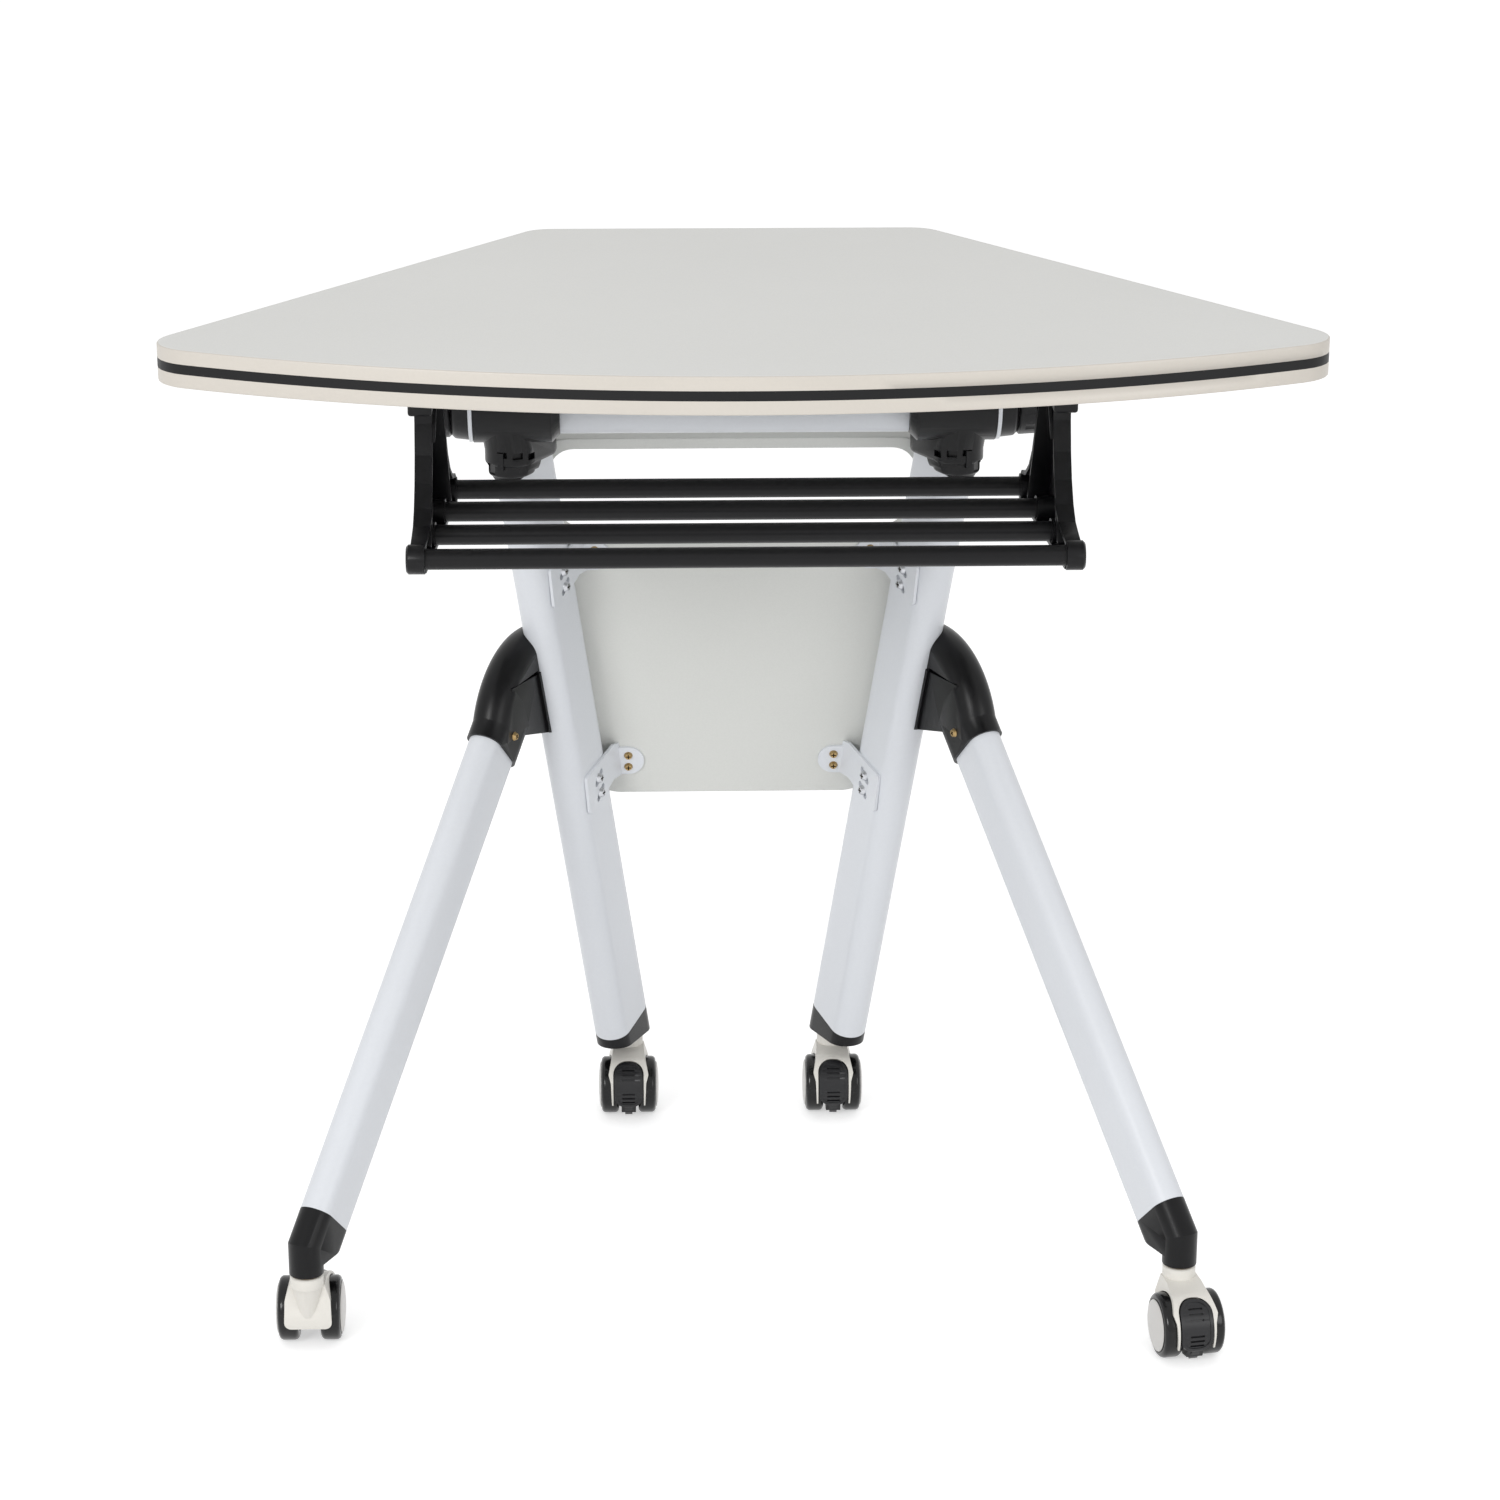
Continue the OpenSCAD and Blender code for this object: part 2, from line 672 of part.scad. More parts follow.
// Knee: a round-edged disc, cut to the part between the socket and the main leg's far side
module joint_knee(mouth, d) {
    along = front_len - knee_back;
    centre = [along * sin(front_lean) + knee_drop * cos(front_lean) + front_foot.x,
        along * cos(front_lean) - knee_drop * sin(front_lean) + front_foot.y];
    start = [for (p = [[mouth + 5, 6], [mouth + 5, knee_r]])
        [p.x * sin(front_lean) - p.y * cos(front_lean) + front_foot.x,
            p.x * cos(front_lean) + p.y * sin(front_lean) + front_foot.y]];
    low = joint_h - 62;
    high = joint_h + knee_r;
    in_frame() intersection() {
        translate([centre.x, 0, centre.y]) rotate([90, 0, 0]) rotate_extrude($fn = 96) half_oval(2 * knee_r, d);
        rotate([90, 0, 0]) linear_extrude(2 * d, center = true)
            polygon(rounded([start[0], [main_s(low) - 30, low], [main_s(low) + 12, low + 8],
                [main_s(high) + 12, high], start[1]], [2, 2, 16, 2, 2]));
    }
}

// Right half of a flat oval, to turn round its short axis
module half_oval(w, d) {
    intersection() {
        union() {
            translate([0, -d / 2]) square([(w - d) / 2, d]);
            translate([(w - d) / 2, 0]) circle(d = d);
        }
        translate([0, -d]) square([w, 2 * d]);
    }
}

// Web below the knee, between the socket and the main leg
module joint_web() {
    low = joint_h - 80;
    in_frame() rotate([90, 0, 0]) translate([0, 0, -10]) linear_extrude(17)
        polygon([[main_s(low) - 72, low + 20], [main_s(low) - 46, low - 4], [main_s(low) - 36, low],
            [main_s(low), low], [main_s(low), low + 60], [main_s(low) - 50, low + 60]]);
}

// Flange that wraps the outer half of the main leg's nose
module joint_flange() {
    mid = (joint_h - 50 - main_foot.y) / cos(main_lean);
    intersection() {
        on_main_leg() translate([0, 0, mid - flange_len / 2]) linear_extrude(flange_len)
            flat_oval(main_w + 2 * flange_t, main_d + 2 * flange_t);
        on_main_leg() translate([-main_w, -1, mid - flange_len])
            cube([main_w - 6, main_d + 2 * flange_t, 2 * flange_len]);
    }
}

// Recess on the inner face, between the socket's end, the knee's upper edge and the flange
module joint_recess(mouth) {
    // Points of the recess as distance along the front leg's axis and height above it
    edge = [[mouth + 42, 27], [mouth + 42, 4], [mouth + 33, -16], [mouth + 14, -34]];
    front = [for (p = edge) [p.x * sin(front_lean) - p.y * cos(front_lean) + front_foot.x,
        p.x * cos(front_lean) + p.y * sin(front_lean) + front_foot.y]];
    low = joint_h - 90;
    high = front[0].y + 3;
    lip = (main_w / 2 + flange_t) / cos(main_lean) - 1;
    in_frame() translate([0, -5, 0]) rotate([90, 0, 0]) linear_extrude(front_d)
        polygon(concat(front, [[main_s(low) - lip, low], [main_s(high) - lip, high]]));
}

// Front shoe: an upright barrel on the stem that turns into the front leg's end
module front_shoe(name) {
    flat_z = castor_h + 6.5;
    color(charcoal) on_side(name) difference() {
        union() {
            in_frame() translate([0, 0, castor_h]) cylinder(d = shoe_d, h = 20);
            intersection() {
                on_front_leg() translate([0, 0, -front_w])
                    linear_extrude(front_w + front_foot_len) flat_oval(front_w, front_d);
                in_frame() translate([0, 0, flat_z]) linear_extrude(2 * front_w) {
                    circle(d = shoe_d);
                    translate([0, -front_d / 2]) square([2 * front_w, front_d]);
                }
            }
            on_front_leg() translate([0, 0, front_foot_len - 1]) plug(front_w, front_d, plug_len + 1);
        }
        in_frame() translate([0, 0, castor_h - 1]) cylinder(d = stem_d + 2 * fit_gap, h = 31);
    }
}

// Rear shoe: a wedge between the main leg's square end and the flat top of the castor
module rear_shoe(name) {
    color(charcoal) on_side(name) difference() {
        union() {
            intersection() {
                on_main_leg() translate([0, 0, -main_w]) linear_extrude(main_w + rear_cap)
                    flat_oval(main_w, main_d);
                in_frame() translate([0, -main_w, castor_h]) cube([2 * frame_len, 2 * main_w, main_w]);
            }
            on_main_leg() translate([0, 0, rear_cap - 1]) plug(main_w, main_d, plug_len + 1);
        }
        in_frame() translate([frame_len, -leg_step, castor_h - 1])
            cylinder(d = stem_d + 2 * fit_gap, h = 31);
    }
}

// Half width of the panel at a height above its lower edge, along the panel
function panel_half(h) = -frame_x(main_s(panel_low + h * cos(panel_tilt)), -leg_step) - 2;
panel_len = (panel_high - panel_low) / cos(panel_tilt);

module modesty_panel() {
    window_top = panel_len - rail_h;
    window_low = window_top - window_h;
    body_points = [[-panel_half(0), 0], [panel_half(0), 0],
        [panel_half(panel_len), panel_len], [-panel_half(panel_len), panel_len]];
    window_points = [[-panel_half(window_low) + stile_w, window_low],
        [panel_half(window_low) - stile_w, window_low],
        [panel_half(window_top) - stile_w, window_top],
        [-panel_half(window_top) + stile_w, window_top]];
    top_r = window_r + rail_h;
    color(board_white) on_panel() rotate([90, 0, 0]) translate([0, 0, -panel_t])
        linear_extrude(panel_t) difference() {
            polygon(rounded(body_points, [panel_corner_r, panel_corner_r, top_r, top_r], 8));
            polygon(rounded(window_points, window_r, 8));
        }
}

// Bracket places: distance along the leg's plane, panel height and X of the bend
function bend_x(z) = let (front = panel_y - (z - panel_low) * tan(panel_tilt) - front_stem_y)
    let (out = -leg_step - main_d / 2)
    let (s = (front - out * sin(frame_angle)) / cos(frame_angle))
    -frame_x(s, out);

// Panel bracket: a slanted plate on the leg's inner face, bent to a round tab on the panel
module panel_bracket(name, z) {
    face = -leg_step - main_d / 2;
    plate_points = [[-19, 3], [-13, -28], [-7, -30], [30, -tab_r], [70, -tab_r], [70, tab_r],
        [30, tab_r + 4]];
    rise = (z - panel_low) / cos(panel_tilt);
    color(pale_steel) on_side(name) difference() {
        union() {
            in_frame() translate([main_s(z), face, z]) rotate([90, 0, 0]) linear_extrude(bracket_t)
                polygon(rounded(plate_points, 3, 3));
            on_panel() translate([0, 0, rise]) rotate([90, 0, 0]) linear_extrude(bracket_t) {
                translate([-bend_x(z) + tab_reach, 0]) circle(tab_r);
                translate([-bend_x(z) - 30, -tab_r]) square([tab_reach + 30, 2 * tab_r]);
            }
        }
        in_frame() translate([0, face, 0]) cube([2 * frame_len, 2 * main_w, desk_h]);
        on_panel() translate([-top_radius, 0, 0]) cube([2 * top_radius, 2 * main_w, desk_h]);
        for (p = leg_screw_places(z))
            in_frame() translate([p.x, face + 1, p.y]) rotate([90, 0, 0]) hull()
                for (side = [-4, 4]) translate([side, side, 0]) cylinder(d = 5, h = bracket_t + 2, $fn = 24);
        for (h = tab_screw_heights(z))
            on_panel() translate([-bend_x(z) + tab_reach, 1, h]) rotate([90, 0, 0])
                cylinder(d = 3.6, h = bracket_t + 2);
    }
}

function leg_screw_places(z) = [[main_s(z) + 3, z - 3], [main_s(z) + 6, z - 16]];
function tab_screw_heights(z) = [for (side = [-0.5, 0.5])
    (z - panel_low) / cos(panel_tilt) + side * tab_screw_gap];

// Zinc screws that hold the brackets to the legs, eight alike
module bracket_screws() {
    face = -leg_step - main_d / 2;
    color(zinc) for (name = side_names) on_side(name)
        for (z = bracket_heights) for (p = leg_screw_places(z))
            in_frame() translate([p.x, face - bracket_t, p.y]) rotate([-90, 0, 0])
                wood_screw(8.5, 4, bracket_t);
}

// Brass screws of the bracket tabs and the leg joints, ten alike
module brass_screws() {
    joint_out = front_d / 2 + joint_wall + knee_proud;
    color(brass) for (name = side_names) on_side(name) {
        for (z = bracket_heights) for (h = tab_screw_heights(z))
            on_panel() translate([-bend_x(z) + tab_reach, -bracket_t, h]) rotate([-90, 0, 0])
                wood_screw(7, 3.5, bracket_t);
        on_front_leg() translate([0, -joint_out, front_len - joint_reach + joint_screw_in])
            rotate([-90, 0, 0]) wood_screw(7, 3.5, joint_wall + knee_proud - fit_gap);
    }
}

module at_castor(i) {
    place = castor_places[i];
    translate([place.x, place.y, 0]) rotate([0, 0, place.z]) children();
}

// Stems with their friction rings, one pressed into each shoe
module castor_stems() {
    color(brass) for (i = [0:3]) at_castor(i) {
        translate([0, 0, stem_low]) cylinder(d = stem_d, h = castor_h - stem_low + 29);
        translate([0, 0, castor_h - ring_h]) cylinder(d = shoe_d - 4, h = ring_h);
    }
}

stem_low = 36;
ring_h = 1.2;

// Sector round the axle: from angle a to b, measured from the trailing side upwards
module sector(r, a, b) {
    step = (b - a) / 6;
    polygon(concat([[0, 0]], [for (i = [0:6]) r * [cos(a + i * step), sin(a + i * step)]]));
}

// Y through the axle: X trailing, Y up, extruded to both sides of the middle
module across_axle(w) {
    translate([trail, w / 2, wheel_r]) rotate([90, 0, 0]) linear_extrude(w) children();
}

// X across and Y up from the floor, extruded in the trailing direction from x
module along_trail(x) {
    translate([x, 0, 0]) rotate([90, 0, 90]) linear_extrude(2 * wheel_d) children();
}

// Fork: cone and collar over the stem, a bell below them, a hood with a shield, arms at the pedal
module castor_fork(i) {
    top_z = castor_h - ring_h - run_gap;
    neck_r = neck_d / 2;
    shield_low = 18.5;
    side = [[shield_w / 2 - 0.8, 40], [shield_w / 2 - 1.8, 44], [neck_r + 1.8, 49], [neck_r + 0.6, 53],
        [neck_r, top_z]];
    hood = concat(side, mirrored(side));
    shield = concat([[-shield_w / 2, shield_low], [shield_w / 2, shield_low]], hood);
    bell_top = top_z - 8 - wheel_r;
    bell = [[-trail - 4, 8], [0, 8], [5, hood_r + 1.3], [neck_r - trail + 1, bell_top],
        [-trail - 3, bell_top], [-trail - 2.5, bell_top - 8]];
    arm = concat([[-arm_w / 2 + 1, 10], [arm_w / 2 - 1, 10], [arm_w / 2, 34]], hood, [[-arm_w / 2, 34]]);
    color(ivory) at_castor(i) difference() {
        union() {
            rotate_extrude() polygon([[0, wheel_r + 2], [5.5, wheel_r + 4], [neck_r - 0.6, top_z - 9],
                [neck_r, top_z - 8.4], [neck_r, top_z - 1], [neck_r - 1, top_z], [0, top_z]]);
            intersection() {
                across_axle(wheel_d) intersection() {
                    circle(hood_r + hood_t);
                    sector(2 * wheel_d, 88, 200);
                }
                along_trail(-wheel_d) polygon(rounded(shield, [5, 5, 3, 3, 2, 1, 1, 1, 1, 2, 3, 3]));
            }
            intersection() {
                across_axle(wheel_d) intersection() {
                    circle(hood_r + hood_t);
                    sector(2 * wheel_d, -20, 89);
                }
                along_trail(0) polygon(arm);
            }
            across_axle(wheel_gap - 2 * run_gap) intersection() {
                circle(hood_r + hood_t);
                translate([-wheel_d, -4.5]) square([2 * wheel_d, 2 * wheel_d]);
            }
            intersection() {
                across_axle(wheel_d) polygon(bell);
                along_trail(-wheel_d) polygon(shield);
            }
        }
        for (side = [-1, 1]) translate([trail, side * (wheel_in + wheel_d / 2 - run_gap), wheel_r])
            rotate([90, 0, 0]) cylinder(r = hood_r, h = wheel_d, center = true);
        intersection() {
            across_axle(wheel_d) difference() {
                circle(2 * wheel_d);
                circle(hood_r - 3);
            }
            pad_prism(2 * run_gap, 2 * wheel_r);
        }
        across_axle(pedal_arm + 2 * run_gap) union() {
            circle(pedal_hub_r + run_gap);
            sector(2 * wheel_d, -75, 40);
        }
        translate([0, 0, stem_low - run_gap]) cylinder(d = stem_d + 2 * fit_gap, h = wheel_d);
        translate([trail, 0, wheel_r]) rotate([90, 0, 0])
            cylinder(d = axle_d + 2 * fit_gap, h = wheel_gap + 2, center = true);
    }
}

pedal_arm = 6;
pedal_hub_r = 6;
pad_angle = 21;
pad_half = 45.5;

// Brake pedal: a ribbed pad between the fork's arms on an arm that turns on the axle
module castor_pedal(i) {
    pad_r = hood_r + hood_t + 1;
    color(charcoal) at_castor(i) difference() {
        union() {
            intersection() {
                across_axle(pedal_w) difference() {
                    circle(pad_r);
                    circle(pad_r - pedal_t);
                }
                pad_prism(0, 0);
            }
            across_axle(pedal_arm) {
                circle(pedal_hub_r);
                intersection() {
                    circle(pad_r - 1);
                    sector(wheel_d, -50, 16);
                }
            }
            across_axle(wheel_gap - 4) polygon([[8, -8], [hood_r - 1, -9], [hood_r - 3, -wheel_r + 7],
                [11, -wheel_r + 5]]);
        }
        intersection() {
            across_axle(pedal_w) difference() {
                circle(2 * pad_r);
                circle(pad_r - 0.5);
            }
            pad_prism(-2.2, -2.2);
        }
        for (a = [-12, -4, 4, 29, 38, 47]) pedal_groove(a, pad_r);
        translate([trail, 0, wheel_r]) rotate([90, 0, 0])
            cylinder(d = axle_d + 2 * fit_gap, h = pedal_arm + 2, center = true);
    }
}

// The pad's outline seen along its middle, grown by gap, and open below by more than that
module pad_prism(gap, open) {
    half = pedal_w / 2 + gap;
    high = (hood_r + hood_t) * sin(pad_half);
    translate([trail, 0, wheel_r]) rotate([0, -pad_angle, 0]) along_trail(4)
        polygon(rounded([[-half, -high - open], [half, -high - open], [half, high + gap], [-half, high + gap]],
            [half - 2.5, half - 2.5, half - 1.5, half - 1.5], 8));
}

module pedal_groove(a, pad_r) {
    translate([trail, 0, wheel_r]) rotate([0, -a, 0])
        translate([pad_r, 0, 0]) cube([2.2, 10, 1.2], center = true);
}

// Wheel: a tread with rounded shoulders, a recessed hub and a domed hub cap
module castor_wheel(i, side) {
    shoulder = 3.5;
    cap_r = wheel_r - 4.7;
    profile = concat(
        [[wheel_r - shoulder, 0]],
        [for (t = [0:22.5:90]) [wheel_r - shoulder + shoulder * sin(t), shoulder - shoulder * cos(t)]],
        [for (t = [0:22.5:90]) [wheel_r - shoulder + shoulder * cos(t),
            wheel_w - shoulder + shoulder * sin(t)]],
        [[cap_r + 0.5, wheel_w], [cap_r, wheel_w + 0.5], [cap_r * 0.75, wheel_w + 1.6],
            [cap_r * 0.4, wheel_w + 2.2], [cap_r * 0.15, wheel_w + 2.4], [0, wheel_w + 2.4], [0, 0]]);
    color(charcoal) at_castor(i) translate([trail, side * wheel_in, wheel_r])
        rotate([-90 * side, 0, 0]) difference() {
            rotate_extrude() polygon(profile);
            translate([0, 0, -1]) rotate_extrude()
                polygon([[6, 0], [wheel_r - 6, 0], [wheel_r - 8, 4], [6, 4]]);
            translate([0, 0, -1]) cylinder(d = axle_d + 2 * fit_gap, h = wheel_w);
        }
}

module castor_axle(i) {
    color(steel) at_castor(i) translate([trail, 0, wheel_r]) rotate([90, 0, 0])
        cylinder(d = axle_d, h = 2 * (wheel_out - 2), center = true);
}

desktop();
edge_band();
edge_stripe();
hinge_plate("left");  // hinge_plate_left
hinge_plate("right");  // hinge_plate_right
hinge_collar("left");  // hinge_collar_left
hinge_collar("right");  // hinge_collar_right
top_screws();
rack_bracket("left");  // rack_bracket_left
rack_bracket("right");  // rack_bracket_right
rack_bar(1);  // rack_bar_1
rack_bar(2);  // rack_bar_2
rack_bar(3);  // rack_bar_3
rack_bar(4);  // rack_bar_4
release_knob("left");  // release_knob_left
release_knob("right");  // release_knob_right
cross_beam();
leg_head("left");  // head_left
leg_head("right");  // head_right
pivot_pin("left");  // pivot_pin_left
pivot_pin("right");  // pivot_pin_right
main_leg("left");  // main_leg_left
main_leg("right");  // main_leg_right
front_leg("left");  // front_leg_left
front_leg("right");  // front_leg_right
leg_joint("left");  // leg_joint_left
leg_joint("right");  // leg_joint_right
front_shoe("left");  // front_shoe_left
front_shoe("right");  // front_shoe_right
rear_shoe("left");  // rear_shoe_left
rear_shoe("right");  // rear_shoe_right
modesty_panel();
panel_bracket("left", bracket_heights[0]);  // lower_bracket_left
panel_bracket("right", bracket_heights[0]);  // lower_bracket_right
panel_bracket("left", bracket_heights[1]);  // upper_bracket_left
panel_bracket("right", bracket_heights[1]);  // upper_bracket_right
bracket_screws();
brass_screws();
castor_stems();
castor_fork(0);  // castor_fl_fork
castor_wheel(0, 1);  // castor_fl_wheel_left
castor_wheel(0, -1);  // castor_fl_wheel_right
castor_axle(0);  // castor_fl_axle
castor_pedal(0);  // castor_fl_pedal
castor_fork(1);  // castor_fr_fork
castor_wheel(1, -1);  // castor_fr_wheel_left
castor_wheel(1, 1);  // castor_fr_wheel_right
castor_axle(1);  // castor_fr_axle
castor_pedal(1);  // castor_fr_pedal
castor_fork(2);  // castor_rl_fork
castor_wheel(2, -1);  // castor_rl_wheel_left
castor_wheel(2, 1);  // castor_rl_wheel_right
castor_axle(2);  // castor_rl_axle
castor_pedal(2);  // castor_rl_pedal
castor_fork(3);  // castor_rr_fork
castor_wheel(3, -1);  // castor_rr_wheel_left
castor_wheel(3, 1);  // castor_rr_wheel_right
castor_axle(3);  // castor_rr_axle
castor_pedal(3);  // castor_rr_pedal
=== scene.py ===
import json
from math import cos, pi, radians, sin

import bmesh
import bpy
from bpy.props import FloatProperty, FloatVectorProperty, IntProperty, PointerProperty
from mathutils import Matrix, Vector

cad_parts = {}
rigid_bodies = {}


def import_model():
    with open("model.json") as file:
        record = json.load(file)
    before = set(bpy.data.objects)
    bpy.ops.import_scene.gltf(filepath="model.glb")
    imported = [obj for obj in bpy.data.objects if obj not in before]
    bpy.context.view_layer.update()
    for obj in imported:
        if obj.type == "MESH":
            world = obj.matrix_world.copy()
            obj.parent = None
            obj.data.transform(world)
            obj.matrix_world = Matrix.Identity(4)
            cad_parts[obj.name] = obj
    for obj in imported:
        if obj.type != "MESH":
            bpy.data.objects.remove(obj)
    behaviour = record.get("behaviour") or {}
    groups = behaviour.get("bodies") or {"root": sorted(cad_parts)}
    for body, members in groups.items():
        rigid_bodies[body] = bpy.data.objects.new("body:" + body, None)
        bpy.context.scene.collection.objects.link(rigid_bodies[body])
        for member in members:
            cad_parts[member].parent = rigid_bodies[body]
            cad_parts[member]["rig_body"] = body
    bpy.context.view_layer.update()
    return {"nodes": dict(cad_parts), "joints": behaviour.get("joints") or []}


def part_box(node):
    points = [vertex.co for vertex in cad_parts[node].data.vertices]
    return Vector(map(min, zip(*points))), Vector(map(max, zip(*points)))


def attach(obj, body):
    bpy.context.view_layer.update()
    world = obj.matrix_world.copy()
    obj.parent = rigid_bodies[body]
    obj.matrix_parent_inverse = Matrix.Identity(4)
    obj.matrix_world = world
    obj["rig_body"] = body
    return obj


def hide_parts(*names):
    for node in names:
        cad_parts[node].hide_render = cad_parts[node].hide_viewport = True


bl_info = {
    "name": "Student desk",
    "version": (1, 0, 0),
    "blender": (4, 5, 0),
    "location": "View3D > Sidebar > Desk",
    "description": "Dresses the flip top student desk: finishes, rounded edges, castor wheels and stage",
    "category": "Object",
}

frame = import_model()
MM = 0.001
SIDES = ("left", "right")
CASTORS = ("fl", "fr", "rl", "rr")
UPWARDS = Vector((0, 0, 1))

# The axis that the top turns about, and the underside of the desktop
FLIP_Y, FLIP_Z = 117.94 * MM, 644 * MM
UNDERSIDE = 722 * MM

# The left pair of legs seen from above: a point in its middle plane, and the way forwards along it
LEG_MIDDLE = Vector((-160.0 * MM, 130.1 * MM, 0))
LEG_FORWARD = Vector((-0.4316, -0.9021, 0))

# Distances at which two points of a mesh count as one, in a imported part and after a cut
SAME_POINT, SAME_POINT_CUT = 0.003 * MM, 0.01 * MM

# Angle up to which two faces count as one flat face, and from which an edge between them is hard
SAME_FACE, HARD_EDGE = radians(0.4), radians(34)


# Settings

def linear(value):
    """Light of one 8-bit screen value."""
    value /= 255
    return value / 12.92 if value <= 0.04045 else ((value + 0.055) / 1.055) ** 2.4


def colour_of(label, text, *screen):
    """Colour property whose default is given as it looks on screen."""
    return FloatVectorProperty(name=label, description=text, subtype="COLOR", size=3, min=0, max=1,
                               default=[linear(value) for value in screen])


def length_of(label, text, default, highest):
    return FloatProperty(name=label, description=text, default=default, min=0, max=highest,
                         unit="LENGTH", precision=5)


class TopSettings(bpy.types.PropertyGroup):
    """Desktop, its edge band and the stripe in the band."""
    arris: length_of("Band arris", "Rounding of the edge band's outer edges", 0.0010, 0.002)
    laminate: colour_of("Laminate", "Face of the desktop", 230, 230, 227)
    band: colour_of("Edge band", "Moulded band round the board", 208, 202, 193)
    stripe: colour_of("Edge stripe", "Dark stripe in the band", 27, 27, 28)


class FrameSettings(bpy.types.PropertyGroup):
    """Legs, mouldings, rack, panel and fasteners."""
    moulded_arris: length_of("Moulded edges", "Rounding of the moulded parts' edges", 0.0006, 0.002)
    metal_arris: length_of("Metal edges", "Rounding of the plates' edges", 0.0003, 0.001)
    panel_arris: length_of("Panel edges", "Rounding of the panel's edges", 0.0012, 0.004)
    panel_corner: length_of("Panel corners", "Rounding of the panel's lower corners", 0.033, 0.06)
    paint: colour_of("Leg paint", "Powder coat of the tubes and plates", 224, 227, 232)
    moulding: colour_of("Moulding", "Grained black plastic", 11, 11, 13)
    bars: colour_of("Rack bars", "Satin black coat of the bars", 15, 15, 17)
    board: colour_of("Panel", "Modesty panel", 219, 220, 216)
    zinc: colour_of("Zinc", "Plated screws and pins", 196, 198, 202)
    brass: colour_of("Brass", "Yellow plated screws and stems", 172, 146, 102)


class CastorSettings(bpy.types.PropertyGroup):
    """Twin wheel castors."""
    steps: IntProperty(name="Wheel steps", description="Faces round a wheel", default=80, min=24, max=160)
    cap_dome: length_of("Cap dome", "Rise of the hub cap to its middle", 0.0019, 0.004)
    cap_step: length_of("Cap groove", "Depth of the groove round the hub cap", 0.0006, 0.001)
    fork: colour_of("Fork", "Cream plastic of fork and hood", 229, 226, 219)
    tread: colour_of("Tread", "Glossy black of the wheels", 14, 14, 15)
    cap: colour_of("Hub cap", "Pale cap in each wheel", 208, 206, 203)


class StageSettings(bpy.types.PropertyGroup):
    """Floor, light and camera."""
    floor: colour_of("Floor", "Pale studio floor", 236, 236, 236)
    key: FloatProperty(name="Key lamp", description="Power of the large lamp at the front left",
                       default=56, min=0, max=200, unit="POWER")
    fill: FloatProperty(name="Fill lamp", description="Power of the lamp at the right",
                        default=20, min=0, max=200, unit="POWER")
    sky: FloatProperty(name="Sky", description="Strength of the even light from all round",
                       default=0.66, min=0, max=2)
    lens: FloatProperty(name="Lens", description="Focal length on a 36 mm sensor", default=87.41,
                        min=20, max=300, unit="CAMERA")


# Shader node groups that several finishes share

def group_of(name, inputs, outputs):
    """A new node group: (group, its inner inputs, its inner outputs)."""
    group = bpy.data.node_groups.new(name, "ShaderNodeTree")
    for label, kind, default in inputs:
        group.interface.new_socket(label, in_out="INPUT", socket_type=kind).default_value = default
    for label, kind in outputs:
        group.interface.new_socket(label, in_out="OUTPUT", socket_type=kind)
    return group, group.nodes.new("NodeGroupInput").outputs, group.nodes.new("NodeGroupOutput").inputs


def wired(tree, node, **sockets):
    """Sets or links the named inputs of a node; an underscore stands for a space."""
    for name, value in sockets.items():
        socket = node.inputs[name.replace("_", " ")]
        if isinstance(value, bpy.types.NodeSocket):
            tree.links.new(value, socket)
        else:
            socket.default_value = value
    return node


def reckon(tree, operation, *values):
    """Result of a Math node."""
    node = tree.nodes.new("ShaderNodeMath")
    node.operation = operation
    for socket, value in zip(node.inputs, values):
        if isinstance(value, bpy.types.NodeSocket):
            tree.links.new(value, socket)
        else:
            socket.default_value = value
    return node.outputs[0]


def spread(tree, value, low, high, to_low=0.0, to_high=1.0):
    """Stretches the part of a value between low and high."""
    node = wired(tree, tree.nodes.new("ShaderNodeMapRange"), Value=value)
    for name, number in (("From Min", low), ("From Max", high), ("To Min", to_low), ("To Max", to_high)):
        node.inputs[name].default_value = number
    return node.outputs[0]


def noise(tree, place, scale, detail=2.0):
    return wired(tree, tree.nodes.new("ShaderNodeTexNoise"), Vector=place, Scale=scale,
                 Detail=detail).outputs[0]


def object_place(tree):
    return tree.nodes.new("ShaderNodeTexCoord").outputs["Object"]


def mottle_group():
    """Two colours in broad clouds with fine flecks."""
    name = "Mottle"
    if name in bpy.data.node_groups:
        return bpy.data.node_groups[name]
    group, given, result = group_of(
        name, [("Light", "NodeSocketColor", (0.8, 0.8, 0.8, 1)),
               ("Dark", "NodeSocketColor", (0.7, 0.7, 0.7, 1)),
               ("Cloud Scale", "NodeSocketFloat", 8.0), ("Fleck Scale", "NodeSocketFloat", 600.0),
               ("Flecks", "NodeSocketFloat", 0.35)],
        [("Colour", "NodeSocketColor"), ("Mask", "NodeSocketFloat")])
    place = object_place(group)
    clouds = spread(group, noise(group, place, given["Cloud Scale"], 3.0), 0.33, 0.67)
    flecks = spread(group, noise(group, place, given["Fleck Scale"], 1.5), 0.38, 0.62)
    share = reckon(group, "SUBTRACT", 1.0, given["Flecks"])
    mask = reckon(group, "ADD", reckon(group, "MULTIPLY", clouds, share),
                  reckon(group, "MULTIPLY", flecks, given["Flecks"]))
    mix = group.nodes.new("ShaderNodeMix")
    mix.data_type = "RGBA"
    group.links.new(mask, mix.inputs["Factor"])
    group.links.new(given["Dark"], mix.inputs[6])
    group.links.new(given["Light"], mix.inputs[7])
    group.links.new(mix.outputs[2], result["Colour"])
    group.links.new(mask, result["Mask"])
    return group


